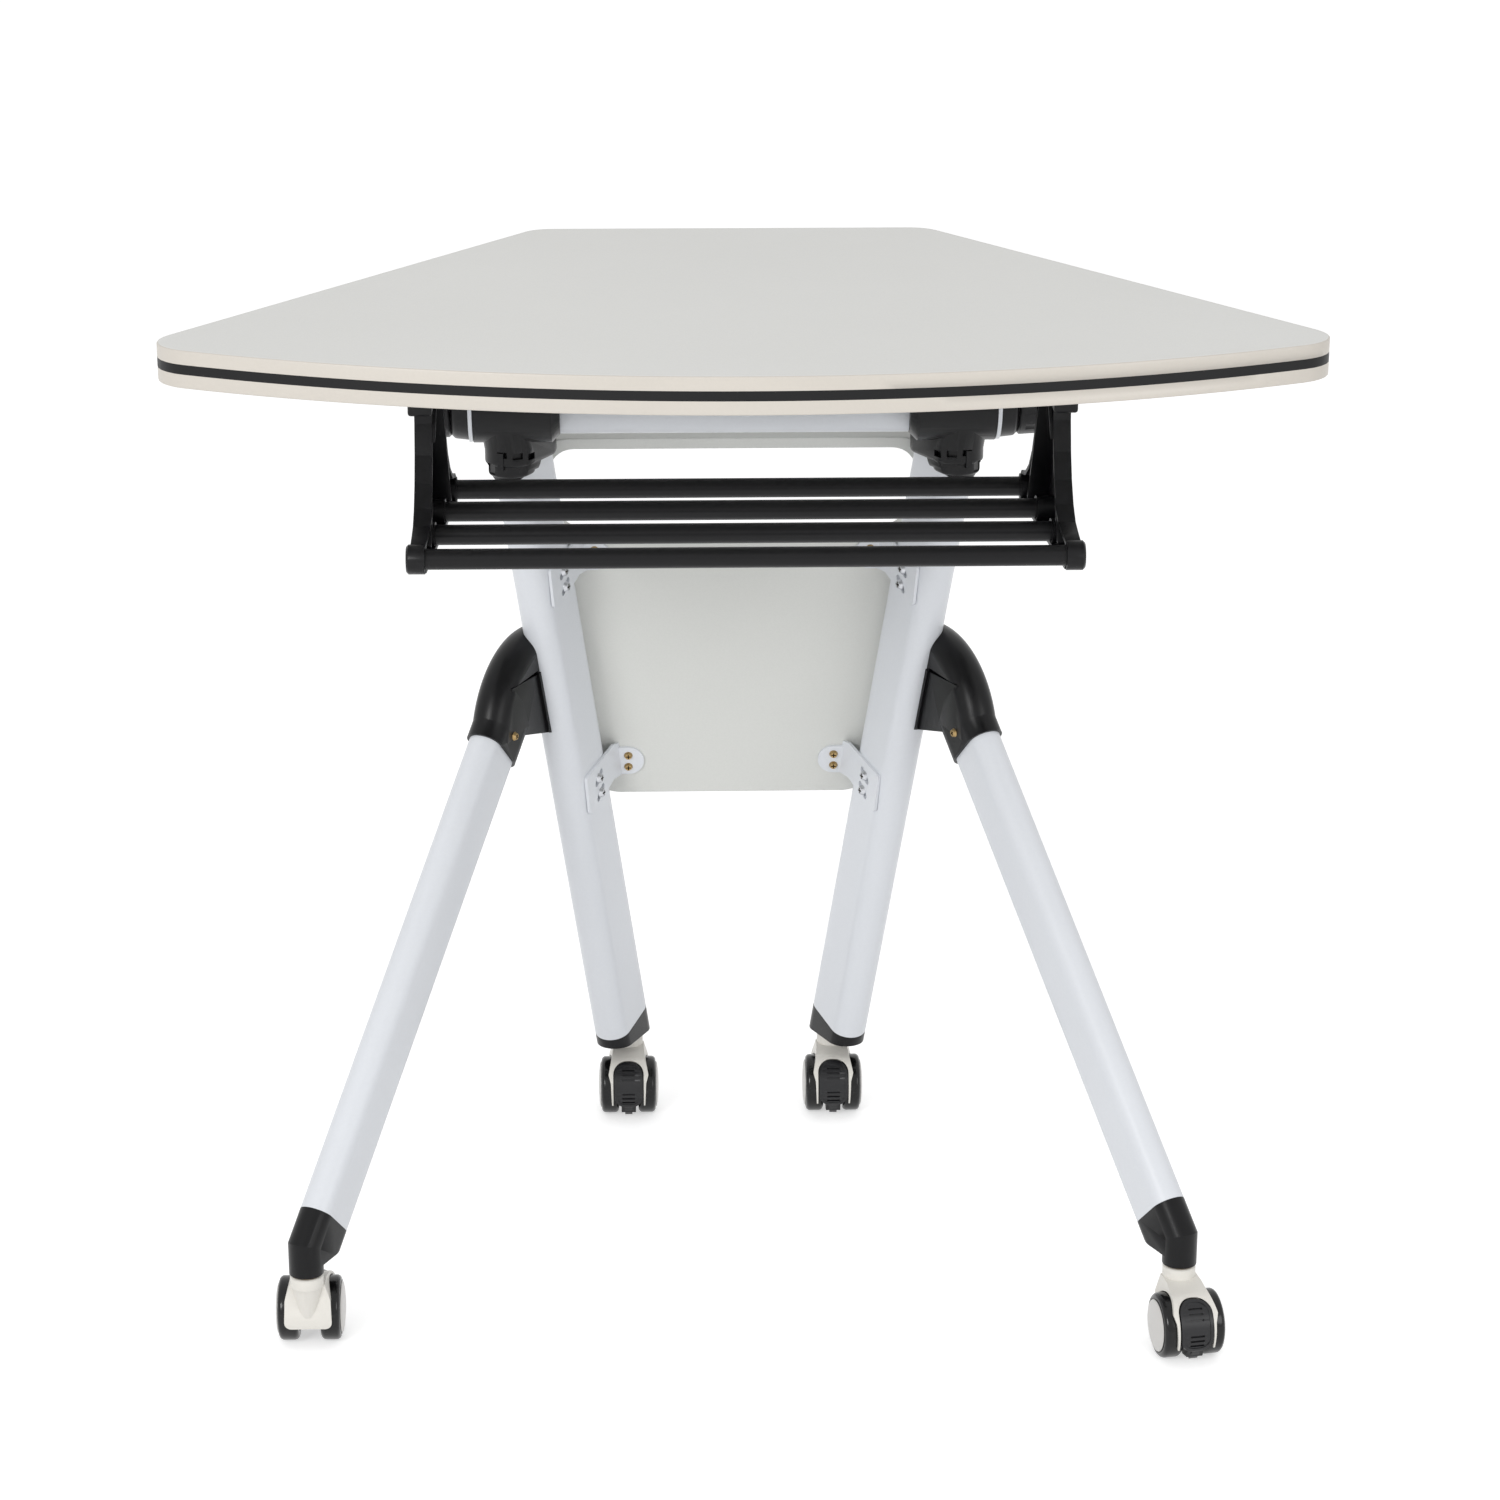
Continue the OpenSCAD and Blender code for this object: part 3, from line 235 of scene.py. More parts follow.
def grain_group():
    """Height of a fine moulded or sprayed grain."""
    name = "Fine grain"
    if name in bpy.data.node_groups:
        return bpy.data.node_groups[name]
    group, given, result = group_of(
        name, [("Scale", "NodeSocketFloat", 900.0), ("Pits", "NodeSocketFloat", 0.5)],
        [("Height", "NodeSocketFloat")])
    place = object_place(group)
    soft = noise(group, place, given["Scale"], 2.5)
    cells = wired(group, group.nodes.new("ShaderNodeTexVoronoi"), Vector=place,
                  Scale=reckon(group, "MULTIPLY", given["Scale"], 1.4)).outputs["Distance"]
    share = reckon(group, "SUBTRACT", 1.0, given["Pits"])
    height = reckon(group, "ADD", reckon(group, "MULTIPLY", soft, share),
                    reckon(group, "MULTIPLY", cells, given["Pits"]))
    group.links.new(height, result["Height"])
    return group


def gloss_group():
    """Roughness that varies with handling and rubbed patches."""
    name = "Handled gloss"
    if name in bpy.data.node_groups:
        return bpy.data.node_groups[name]
    group, given, result = group_of(
        name, [("Low", "NodeSocketFloat", 0.3), ("High", "NodeSocketFloat", 0.5),
               ("Scale", "NodeSocketFloat", 14.0)], [("Roughness", "NodeSocketFloat")])
    place = object_place(group)
    broad = spread(group, noise(group, place, given["Scale"], 4.0), 0.35, 0.65)
    fine = spread(group, noise(group, place, reckon(group, "MULTIPLY", given["Scale"], 22.0)), 0.4, 0.6)
    mask = reckon(group, "ADD", reckon(group, "MULTIPLY", broad, 0.7), reckon(group, "MULTIPLY", fine, 0.3))
    reach = reckon(group, "SUBTRACT", given["High"], given["Low"])
    group.links.new(reckon(group, "MULTIPLY_ADD", mask, reach, given["Low"]), result["Roughness"])
    return group


def wear_group():
    """Mask of rubbed outer edges, broken up by noise."""
    name = "Edge wear"
    if name in bpy.data.node_groups:
        return bpy.data.node_groups[name]
    group, given, result = group_of(
        name, [("Amount", "NodeSocketFloat", 0.3), ("Scale", "NodeSocketFloat", 120.0)],
        [("Mask", "NodeSocketFloat")])
    edge = spread(group, group.nodes.new("ShaderNodeNewGeometry").outputs["Pointiness"], 0.52, 0.60)
    patches = spread(group, noise(group, object_place(group), given["Scale"], 3.0), 0.35, 0.6)
    mask = reckon(group, "MULTIPLY", edge, reckon(group, "MULTIPLY", patches, given["Amount"]))
    group.links.new(mask, result["Mask"])
    return group


def placed(tree, group, **values):
    node = tree.nodes.new("ShaderNodeGroup")
    node.node_tree = group
    return wired(tree, node, **values)


# Finishes

def shade(colour, factor):
    """The colour made darker or lighter, with an alpha of one."""
    return tuple(min(1.0, part * factor) for part in colour) + (1.0,)


def finish(name, colour, variation=0.04, clouds=7.0, flecks=(600.0, 0.35), grain=(900.0, 0.5, 0.00005),
           gloss=(0.35, 0.5), gloss_scale=14.0, wear=None, metallic=0.0, coat=0.0, specular=0.5):
    """A finish made of the shared groups; it is built once and then found by its name.

    variation: share by which the colour gets lighter and darker; clouds: scale of its broad clouds
    flecks: scale and share; grain: scale, share of pits and height; gloss: lowest and highest roughness
    wear: amount, scale and how much lighter than the colour
    """
    if name in bpy.data.materials:
        return bpy.data.materials[name]
    material = bpy.data.materials.new(name)
    material.use_nodes = True
    material.diffuse_color = tuple(colour) + (1.0,)
    tree = material.node_tree
    shader = tree.nodes["Principled BSDF"]
    shader.inputs["Metallic"].default_value = metallic
    shader.inputs["Coat Weight"].default_value = coat
    shader.inputs["Coat Roughness"].default_value = 0.12
    shader.inputs["Specular IOR Level"].default_value = specular
    base = placed(tree, mottle_group(), Light=shade(colour, 1 + variation), Dark=shade(colour, 1 - variation),
                  Cloud_Scale=clouds, Fleck_Scale=flecks[0], Flecks=flecks[1]).outputs["Colour"]
    if wear:
        mask = placed(tree, wear_group(), Amount=wear[0], Scale=wear[1]).outputs["Mask"]
        mix = tree.nodes.new("ShaderNodeMix")
        mix.data_type = "RGBA"
        tree.links.new(mask, mix.inputs["Factor"])
        tree.links.new(base, mix.inputs[6])
        mix.inputs[7].default_value = shade(colour, wear[2])
        base = mix.outputs[2]
    tree.links.new(base, shader.inputs["Base Color"])
    rough = placed(tree, gloss_group(), Low=gloss[0], High=gloss[1], Scale=gloss_scale)
    tree.links.new(rough.outputs["Roughness"], shader.inputs["Roughness"])
    height = placed(tree, grain_group(), Scale=grain[0], Pits=grain[1]).outputs["Height"]
    bump = wired(tree, tree.nodes.new("ShaderNodeBump"), Height=height, Strength=0.6, Distance=grain[2])
    tree.links.new(bump.outputs["Normal"], shader.inputs["Normal"])
    return material


def laminate(scene):
    return finish("fine textured laminate", scene.desk_top.laminate, 0.022, 3.0, (900.0, 0.55),
                  (1300.0, 0.45, 0.00006), (0.56, 0.66), 5.0, specular=0.3)


def edge_band_plastic(scene):
    return finish("satin cream edge band", scene.desk_top.band, 0.02, 12.0, (500.0, 0.3),
                  (1500.0, 0.3, 0.00002), (0.34, 0.44))


def stripe_plastic(scene):
    return finish("dark edge stripe", scene.desk_top.stripe, 0.08, 20.0, (700.0, 0.4),
                  (1500.0, 0.3, 0.00002), (0.38, 0.5), specular=0.2)


def leg_paint(scene):
    return finish("white powder coat", scene.desk_frame.paint, 0.018, 6.0, (400.0, 0.3),
                  (650.0, 0.15, 0.00004), (0.3, 0.4), 9.0, coat=0.15)


def black_moulding(scene):
    return finish("grained black moulding", scene.desk_frame.moulding, 0.07, 30.0, (900.0, 0.6),
                  (1500.0, 0.6, 0.00008), (0.28, 0.36), 22.0, wear=(0.3, 160.0, 2.5), specular=0.24)


def bar_paint(scene):
    return finish("satin black bar coat", scene.desk_frame.bars, 0.05, 25.0, (600.0, 0.4),
                  (700.0, 0.2, 0.00002), (0.3, 0.34), 18.0, specular=0.24)


def panel_board(scene):
    return finish("satin panel", scene.desk_frame.board, 0.02, 4.0, (700.0, 0.45),
                  (900.0, 0.3, 0.00005), (0.42, 0.52), 6.0)


def zinc_plate(scene):
    return finish("zinc plate", scene.desk_frame.zinc, 0.1, 90.0, (1800.0, 0.5),
                  (2500.0, 0.4, 0.00002), (0.24, 0.42), 120.0, wear=(0.5, 300.0, 1.3), metallic=1.0)


def brass_plate(scene):
    return finish("brass plate", scene.desk_frame.brass, 0.16, 90.0, (1500.0, 0.5),
                  (2500.0, 0.4, 0.00002), (0.26, 0.48), 120.0, wear=(0.5, 300.0, 1.4), metallic=1.0)


def recess_painted_shade(scene):
    # Brass darkened to near black for the screws' cross recesses: painted shade of the recess
    return finish("screw recess painted shade", [part * 0.12 for part in scene.desk_frame.brass], 0.1, 90.0,
                  (1500.0, 0.5), (2500.0, 0.4, 0.00002), (0.6, 0.8), 120.0, specular=0.2)


def fork_plastic(scene):
    return finish("satin cream castor", scene.desk_castors.fork, 0.025, 30.0, (800.0, 0.3),
                  (1200.0, 0.3, 0.00004), (0.32, 0.44), 40.0)


def pedal_plastic(scene):
    # Its black is lifted above the moulding's as a painted sheen on the pad; the higher specular adds real
    # sheen
    return finish("satin black pedal", [part * 2.4 for part in scene.desk_frame.moulding], 0.08, 60.0,
                  (900.0, 0.5), (1200.0, 0.4, 0.00004), (0.3, 0.38), 60.0, specular=0.45)


def tread_plastic(scene):
    return finish("glossy black tread", scene.desk_castors.tread, 0.2, 60.0, (900.0, 0.5),
                  (500.0, 0.1, 0.00003), (0.1, 0.3), 90.0, wear=(0.2, 200.0, 3.0), coat=0.1, specular=0.3)


def cap_plastic(scene):
    return finish("pale hub cap", scene.desk_castors.cap, 0.02, 60.0, (900.0, 0.4),
                  (1200.0, 0.2, 0.00003), (0.3, 0.4), 60.0)


# Pieces

def home_of(node):
    return frame["nodes"][node]["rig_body"]


def merged(node):
    """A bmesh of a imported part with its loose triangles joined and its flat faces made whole."""
    bm = bmesh.new()
    bm.from_mesh(frame["nodes"][node].data)
    bmesh.ops.remove_doubles(bm, verts=bm.verts, dist=SAME_POINT)
    bmesh.ops.dissolve_limit(bm, angle_limit=SAME_FACE, verts=bm.verts, edges=bm.edges,
                             use_dissolve_boundaries=False)
    return bm


def stand_in(bm, node, materials, arris=0.0):
    """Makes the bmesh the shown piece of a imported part: smooth, with its hard edges rounded."""
    mesh = bpy.data.meshes.new(node + "_finished")
    bm.to_mesh(mesh)
    bm.free()
    for material in materials:
        mesh.materials.append(material)
    mesh.shade_smooth()
    mesh.set_sharp_from_angle(angle=HARD_EDGE)
    piece = bpy.data.objects.new(node + "_finished", mesh)
    bpy.context.scene.collection.objects.link(piece)
    if arris:
        rounding = piece.modifiers.new("Rounded edges", "BEVEL")
        rounding.width = arris
        rounding.segments = 2
        rounding.limit_method = "ANGLE"
        rounding.angle_limit = HARD_EDGE
        rounding.use_clamp_overlap = True
        rounding.harden_normals = True
    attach(piece, home_of(node))
    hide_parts(node)
    return piece


def dressed(node, material, arris):
    return stand_in(merged(node), node, [material], arris)


def loose_object(bm):
    mesh = bpy.data.meshes.new("blank")
    bm.to_mesh(mesh)
    bm.free()
    blank = bpy.data.objects.new("blank", mesh)
    bpy.context.scene.collection.objects.link(blank)
    return blank


def carved(bm, added=(), cut=()):
    """The closed bmesh joined with the added ones, less the cut ones; all of them are used up."""
    blank = loose_object(bm)
    tools = []
    for operation, others in (("UNION", added), ("DIFFERENCE", cut)):
        for other in others:
            tools.append(loose_object(other))
            step = blank.modifiers.new(operation, "BOOLEAN")
            step.operation = operation
            step.solver = "EXACT"
            step.object = tools[-1]
    bpy.context.view_layer.update()
    result = bmesh.new()
    result.from_object(blank, bpy.context.evaluated_depsgraph_get())
    for used in [blank] + tools:
        mesh = used.data
        bpy.data.objects.remove(used)
        bpy.data.meshes.remove(mesh)
    bmesh.ops.remove_doubles(result, verts=result.verts, dist=SAME_POINT_CUT)
    bmesh.ops.dissolve_limit(result, angle_limit=SAME_FACE, verts=result.verts, edges=result.edges,
                             use_dissolve_boundaries=False)
    return result


def for_side(bm, side):
    """Turns a bmesh made for the left side into the one for the side that is asked for."""
    if side == "right":
        bmesh.ops.scale(bm, vec=(-1, 1, 1), verts=bm.verts)
        bmesh.ops.recalc_face_normals(bm, faces=bm.faces)
    return bm


def block(low, high, rounding=0.0):
    """A block between two corners, its edges rounded."""
    low, high = Vector(low), Vector(high)
    bm = bmesh.new()
    size = Matrix.Diagonal((*(high - low), 1))
    bmesh.ops.create_cube(bm, size=1.0, matrix=Matrix.Translation((low + high) / 2) @ size)
    if rounding:
        bmesh.ops.bevel(bm, geom=list(bm.edges), offset=rounding, offset_type="OFFSET", segments=3,
                        profile=0.5, affect="EDGES", clamp_overlap=True, material=-1)
    return bm


def by_leg(bm):
    """Places a bmesh made with X forwards along the left legs, Y inwards across them and Z up."""
    across = Vector((-LEG_FORWARD.y, LEG_FORWARD.x, 0))
    bm.transform(Matrix.Translation(LEG_MIDDLE)
                 @ Matrix((LEG_FORWARD, across, UPWARDS)).transposed().to_4x4())
    return bm


def leg_cup(radius, straight, low, high, rim, forward=0.0):
    """Flat oval cup round the top of the left main leg, with a rounded lower rim."""
    bm = bmesh.new()
    outline = bmesh.ops.create_circle(bm, cap_ends=True, segments=64, radius=radius)["verts"]
    for vert in outline:
        vert.co.x += straight / 2 * (1 if vert.co.x > 0 else -1) + forward
    bmesh.ops.translate(bm, verts=outline, vec=(0, 0, low))
    walls = bmesh.ops.extrude_face_region(bm, geom=list(bm.faces))["geom"]
    lifted = [part for part in walls if isinstance(part, bmesh.types.BMVert)]
    bmesh.ops.translate(bm, verts=lifted, vec=(0, 0, high - low))
    bmesh.ops.recalc_face_normals(bm, faces=bm.faces)
    lower = [edge for edge in bm.edges if all(abs(vert.co.z - low) < 0.001 * MM for vert in edge.verts)]
    bmesh.ops.bevel(bm, geom=lower, offset=rim, offset_type="OFFSET", segments=4, profile=0.5,
                    affect="EDGES", clamp_overlap=True, material=-1)
    return by_leg(bm)


def pocket(place, facing, size):
    """Small block on the cup: place in millimetres, facing outwards at that angle in degrees."""
    bm = block([-part / 2 * MM for part in size], [part / 2 * MM for part in size])
    bm.transform(Matrix.Translation(Vector(place) * MM) @ Matrix.Rotation(radians(facing), 4, "Z"))
    return by_leg(bm)


def prism(outline, start, end):
    """Solid with an outline in X and Z, between two places in Y, all in millimetres."""
    bm = bmesh.new()
    for x, z in outline:
        for y in (start, end):
            bm.verts.new((x * MM, y * MM, z * MM))
    bmesh.ops.convex_hull(bm, input=list(bm.verts))
    bmesh.ops.recalc_face_normals(bm, faces=bm.faces)
    return bm


def filled(node):
    """The straight tube of that name as a solid rod."""
    bm = bmesh.new()
    for vert in frame["nodes"][node].data.vertices:
        bm.verts.new(vert.co)
    bmesh.ops.convex_hull(bm, input=list(bm.verts))
    bmesh.ops.delete(bm, geom=[vert for vert in bm.verts if not vert.link_faces], context="VERTS")
    bmesh.ops.recalc_face_normals(bm, faces=bm.faces)
    return bm


def outer_arrises(bm, low, high, middle):
    """Edges between a level face at low or high and an upright face that looks away from the middle."""
    found = []
    for edge in bm.edges:
        if len(edge.link_faces) != 2 or edge.calc_face_angle(0.0) < 1.0:
            continue
        if not all(min(abs(v.co.z - low), abs(v.co.z - high)) < 0.02 * MM for v in edge.verts):
            continue
        upright = min(edge.link_faces, key=lambda face: abs(face.normal.z))
        away = (edge.verts[0].co + edge.verts[1].co) / 2 - middle
        if upright.normal.x * away.x + upright.normal.y * away.y > 0:
            found.append(edge)
    return found


class DESK_OT_tabletop(bpy.types.Operator):
    """Make the desktop with its edge band and stripe"""
    bl_idname = "desk.tabletop"
    bl_label = "Tabletop"

    def execute(self, context):
        scene = context.scene
        low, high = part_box("edge_band")
        bm = merged("edge_band")
        arrises = outer_arrises(bm, low.z, high.z, (low + high) / 2)
        if not arrises:
            raise RuntimeError("the edge band has no outer arrises to round")
        bmesh.ops.bevel(bm, geom=arrises, offset=scene.desk_top.arris, offset_type="OFFSET", segments=4,
                        profile=0.5, affect="EDGES", clamp_overlap=True, material=-1)
        for face in bm.faces:
            if face.normal.z > 0.99 and face.calc_center_median().z > high.z - 0.05 * MM:
                face.material_index = 1
        stand_in(bm, "edge_band", [edge_band_plastic(scene), laminate(scene)])
        stand_in(merged("desktop"), "desktop", [laminate(scene)])
        stand_in(merged("edge_stripe"), "edge_stripe", [stripe_plastic(scene)])
        return {"FINISHED"}


class DESK_OT_leg_tubes(bpy.types.Operator):
    """Make the cross beam, the main legs and the front legs"""
    bl_idname = "desk.leg_tubes"
    bl_label = "Leg tubes"

    def execute(self, context):
        scene = context.scene
        for node in ["cross_beam"] + [leg + side for leg in ("main_leg_", "front_leg_") for side in SIDES]:
            dressed(node, leg_paint(scene), scene.desk_frame.metal_arris)
        return {"FINISHED"}


class DESK_OT_leg_mouldings(bpy.types.Operator):
    """Make the heads, the leg joints and the shoes"""
    bl_idname = "desk.leg_mouldings"
    bl_label = "Leg mouldings"

    # Outlines beside the left legs, forwards and up, and their reach across, all in millimetres
    web_outline = ((20.5, 416), (13, 398), (10, 380), (2, 373.8), (-12, 370.6), (-38.6, 364.4),
                   (-35, 376), (-23.2, 416))
    web_reach = (-26, -0.9)
    trim_outline = ((-52, 361.3), (-13, 370.5), (-13, 345), (-52, 345))
    trim_reach = (-31, 2)

    # Small blocks on the left head's cup: place, facing and size, as pocket takes them
    windows = (((35.8, 2.9, 602), 9, (7, 7.5, 4.8)), ((30.6, 13.3, 601), 45, (7, 8, 4.8)),
               ((18.7, 18.9, 599.5), 85, (7, 8.5, 4.8)))
    notch = ((32.0, -11.0, 590), -35, (8, 12, 9))
    clip = ((35.2, 1.6, 597), 6, (3.4, 4.6, 13))

    def execute(self, context):
        scene = context.scene
        fine = scene.desk_frame.metal_arris
        for side in SIDES:
            stand_in(for_side(self.head(), side), "head_" + side, [black_moulding(scene)], fine)
            stand_in(for_side(self.joint(), side), "leg_joint_" + side, [black_moulding(scene)], fine)
            for moulding in ("front_shoe_", "rear_shoe_"):
                dressed(moulding + side, black_moulding(scene), scene.desk_frame.moulded_arris)
        return {"FINISHED"}

    def joint(self):
        """The left joint, its web filled out between knee and flange and its lower edge made even."""
        web = carved(by_leg(prism(self.web_outline, *self.web_reach)),
                     cut=[filled("front_leg_left"), filled("main_leg_left")])
        trimmed = carved(merged("leg_joint_left"), cut=[by_leg(prism(self.trim_outline, *self.trim_reach))])
        return carved(trimmed, [web])

    def head(self):
        """The left head with an upright cup round the leg, its lip, three windows, a notch and a clip."""
        cup = leg_cup(radius=19 * MM, straight=34 * MM, low=592 * MM, high=640 * MM, rim=3.5 * MM)
        lip = leg_cup(radius=16 * MM, straight=6 * MM, low=583.5 * MM, high=595 * MM, rim=3 * MM,
                      forward=15 * MM)
        openings = [pocket(*opening) for opening in (*self.windows, self.notch)]
        return carved(carved(merged("head_left"), [cup, lip], openings), [pocket(*self.clip)])


class DESK_OT_hinges(bpy.types.Operator):
    """Make the hinge plates, collars, pins and release knobs"""
    bl_idname = "desk.hinges"
    bl_label = "Hinges"

    def execute(self, context):
        scene = context.scene
        fine = scene.desk_frame.metal_arris
        for side in SIDES:
            stand_in(for_side(self.plate(), side), "hinge_plate_" + side, [leg_paint(scene)], fine)
            for moulding in ("hinge_collar_", "release_knob_"):
                dressed(moulding + side, black_moulding(scene), scene.desk_frame.moulded_arris)
            dressed("pivot_pin_" + side, zinc_plate(scene), fine)
        return {"FINISHED"}

    def plate(self):
        """The left hinge plate with an ear as wide as the head's barrel."""
        ear_radius, bore_radius, thickness = 35.5 * MM, 6.1 * MM, 2.9 * MM
        inset, flange = 0.05 * MM, 3 * MM
        low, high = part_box("hinge_plate_left")
        ear = bmesh.new()
        across = Matrix.Translation((low.x + inset, FLIP_Y, FLIP_Z)) @ Matrix.Rotation(pi / 2, 4, "Y")
        bmesh.ops.create_circle(ear, segments=72, radius=ear_radius, matrix=across)
        for y in (low.y, high.y):
            for z in (UNDERSIDE - flange, UNDERSIDE - inset):
                ear.verts.new((low.x + inset, y, z))
        second = bmesh.ops.duplicate(ear, geom=list(ear.verts))["geom"]
        bmesh.ops.translate(ear, verts=[part for part in second if isinstance(part, bmesh.types.BMVert)],
                            vec=(thickness, 0, 0))
        bmesh.ops.convex_hull(ear, input=list(ear.verts))
        bmesh.ops.recalc_face_normals(ear, faces=ear.faces)
        bore = bmesh.new()
        bmesh.ops.create_cone(bore, cap_ends=True, segments=48, radius1=bore_radius, radius2=bore_radius,
                              depth=20 * MM, matrix=across)
        return carved(merged("hinge_plate_left"), [ear], [bore])


class DESK_OT_book_rack(bpy.types.Operator):
    """Make the rack's moulded brackets and its four bars"""
    bl_idname = "desk.book_rack"
    bl_label = "Book rack"

    # Corners of the left bracket's foot under the desktop
    foot_low = (-226.4 * MM, -137.4 * MM, 684.5 * MM)
    foot_high = (-210 * MM, -72 * MM, UNDERSIDE - 0.1 * MM)

    def execute(self, context):
        scene = context.scene
        for side in SIDES:
            foot = block(self.foot_low, self.foot_high, rounding=2 * MM)
            bracket = for_side(carved(merged("rack_bracket_left"), [foot]), side)
            stand_in(bracket, "rack_bracket_" + side, [black_moulding(scene)], scene.desk_frame.metal_arris)
        for bar in range(1, 5):
            dressed(f"rack_bar_{bar}", bar_paint(scene), scene.desk_frame.moulded_arris)
        return {"FINISHED"}


class DESK_OT_modesty_panel(bpy.types.Operator):
    """Make the modesty panel and the steel brackets that hold it"""
    bl_idname = "desk.modesty_panel"
    bl_label = "Modesty panel"

    def execute(self, context):
        scene = context.scene
        panel = merged("modesty_panel")
        panel = carved(panel, cut=self.corners(panel, scene.desk_frame.panel_corner))
        stand_in(panel, "modesty_panel", [panel_board(scene)], scene.desk_frame.panel_arris)
        for level in ("lower_bracket_", "upper_bracket_"):
            for side in SIDES:
                dressed(level + side, leg_paint(scene), scene.desk_frame.metal_arris)
        return {"FINISHED"}

    def corners(self, panel, radius):
        """What a wider rounding takes off the panel's two lower corners."""
        packed_radius, below, through = 21 * MM, 5 * MM, 20 * MM
        lean = 0.84  # how far a rounding's middle moves inwards as its radius grows by one
        facing = max(panel.faces, key=lambda face: face.calc_area()).normal.copy()
        along = Vector((1, 0, 0))
        up = facing.cross(along)
        up = up if up.z > 0 else -up
        turn = Matrix((along, up, along.cross(up)))
        points = [turn @ vert.co for vert in panel.verts]
        low = min(point.y for point in points)
        depth = sum(point.z for point in points) / len(points)
        end = max(point.x for point in points if point.y < low + 0.02 * MM)
        inset = end - lean * (radius - packed_radius)
        cutters = []
        for hand in (-1, 1):
            near, far = sorted((hand * inset, hand * (inset + 2 * radius)))
            corner = block((near, low - below, depth - through), (far, low + radius, depth + through))
            disc = bmesh.new()
            middle = Matrix.Translation((hand * inset, low + radius, depth))
            bmesh.ops.create_cone(disc, cap_ends=True, segments=160, radius1=radius, radius2=radius,
                                  depth=3 * through, matrix=middle)
            cutters.append(carved(corner, cut=[disc]))
            cutters[-1].transform(turn.transposed().to_4x4())
        return cutters


class DESK_OT_screws(bpy.types.Operator):
    """Make the screws and the castors' stems"""
    bl_idname = "desk.screws"
    bl_label = "Screws and stems"

    def execute(self, context):
        scene = context.scene
        for node, metal in (("top_screws", zinc_plate), ("bracket_screws", zinc_plate),
                            ("brass_screws", brass_plate)):
            # The second material paints shade into the screws' cross recesses
            stand_in(self.screws(node), node, [metal(scene), recess_painted_shade(scene)], 0.1 * MM)
        dressed("castor_stems", brass_plate(scene), 0.2 * MM)
        return {"FINISHED"}

    def screws(self, node):
        """The screws, their cross recesses given the second material, a painted shade."""
        screws = merged(node)
        seen = set()
        for start in screws.faces:
            if start in seen:
                continue
            seen.add(start)
            screw = [start]
            for face in screw:  # the list grows while it is walked
                for other in (other for edge in face.edges for other in edge.link_faces):
                    if other not in seen:
                        seen.add(other)
                        screw.append(other)
            self.paint_recess_shade(screw)
        return screws

    def paint_recess_shade(self, screw):
        """Marks the faces of one screw that lie in its recess, close to its axis and below its dome, for the
        painted shade.
        """
        shallow, deep, wide = 0.5 * MM, 1.6 * MM, 2.3 * MM
        axis = -max(screw, key=lambda face: face.calc_area()).normal
        points = [vert.co for vert in dict.fromkeys(vert for face in screw for vert in face.verts)]
        middle = sum(points, Vector()) / len(points)
        top = max((point - middle).dot(axis) for point in points)
        for face in screw:
            centre = face.calc_center_median() - middle
            along = centre.dot(axis)
            if shallow < top - along < deep and (centre - axis * along).length < wide:
                face.material_index = 1


def wheel_profile(castors, radius, width):
    """Half section of a wheel, from its axis and back to it: (radius, place along the axle)."""
    shoulder, bore, hub, web = 3.5 * MM, 3.05 * MM, 6 * MM, 3 * MM
    cap = radius - 4.7 * MM
    rise = width + 0.5 * MM
    inner = [(0, width - 1 * MM), (bore, width - 1 * MM), (bore, 0), (hub, 0), (hub, web),
             (radius - 8 * MM, web), (radius - 6.3 * MM, 0), (radius - shoulder, 0)]
    turns = [radians(angle) for angle in (18, 36, 54, 72, 90)]
    low = [(radius - shoulder + shoulder * sin(t), shoulder - shoulder * cos(t)) for t in turns]
    high = [(radius - shoulder + shoulder * cos(t), width - shoulder + shoulder * sin(t)) for t in turns]
    groove = [(cap + 0.9 * MM, width), (cap + 0.7 * MM, width - castors.cap_step),
              (cap + 0.1 * MM, width - castors.cap_step), (cap, width + 0.3 * MM)]
    dome = [(cap * cos(t), rise + castors.cap_dome * sin(t))
            for t in [radians(angle) for angle in (8, 20, 35, 50, 65, 78)]]
    return (inner + low + [(radius, width - shoulder)] + high + groove + dome
            + [(0, rise + castors.cap_dome)])


def turned(profile, steps):
    """A half section that starts and ends on the axis, turned round Z."""
    bm = bmesh.new()
    start, end = (bm.verts.new((0, 0, profile[place][1])) for place in (0, -1))
    turns = [2 * pi * step / steps for step in range(steps)]
    rings = [[bm.verts.new((r * cos(t), r * sin(t), z)) for r, z in profile[1:-1]] for t in turns]
    for ring, following in zip(rings, rings[1:] + rings[:1]):
        bm.faces.new((start, ring[0], following[0]))
        for corners in zip(ring, ring[1:], following[1:], following):
            bm.faces.new(corners)
        bm.faces.new((end, following[-1], ring[-1]))
    bmesh.ops.recalc_face_normals(bm, faces=bm.faces)
    return bm


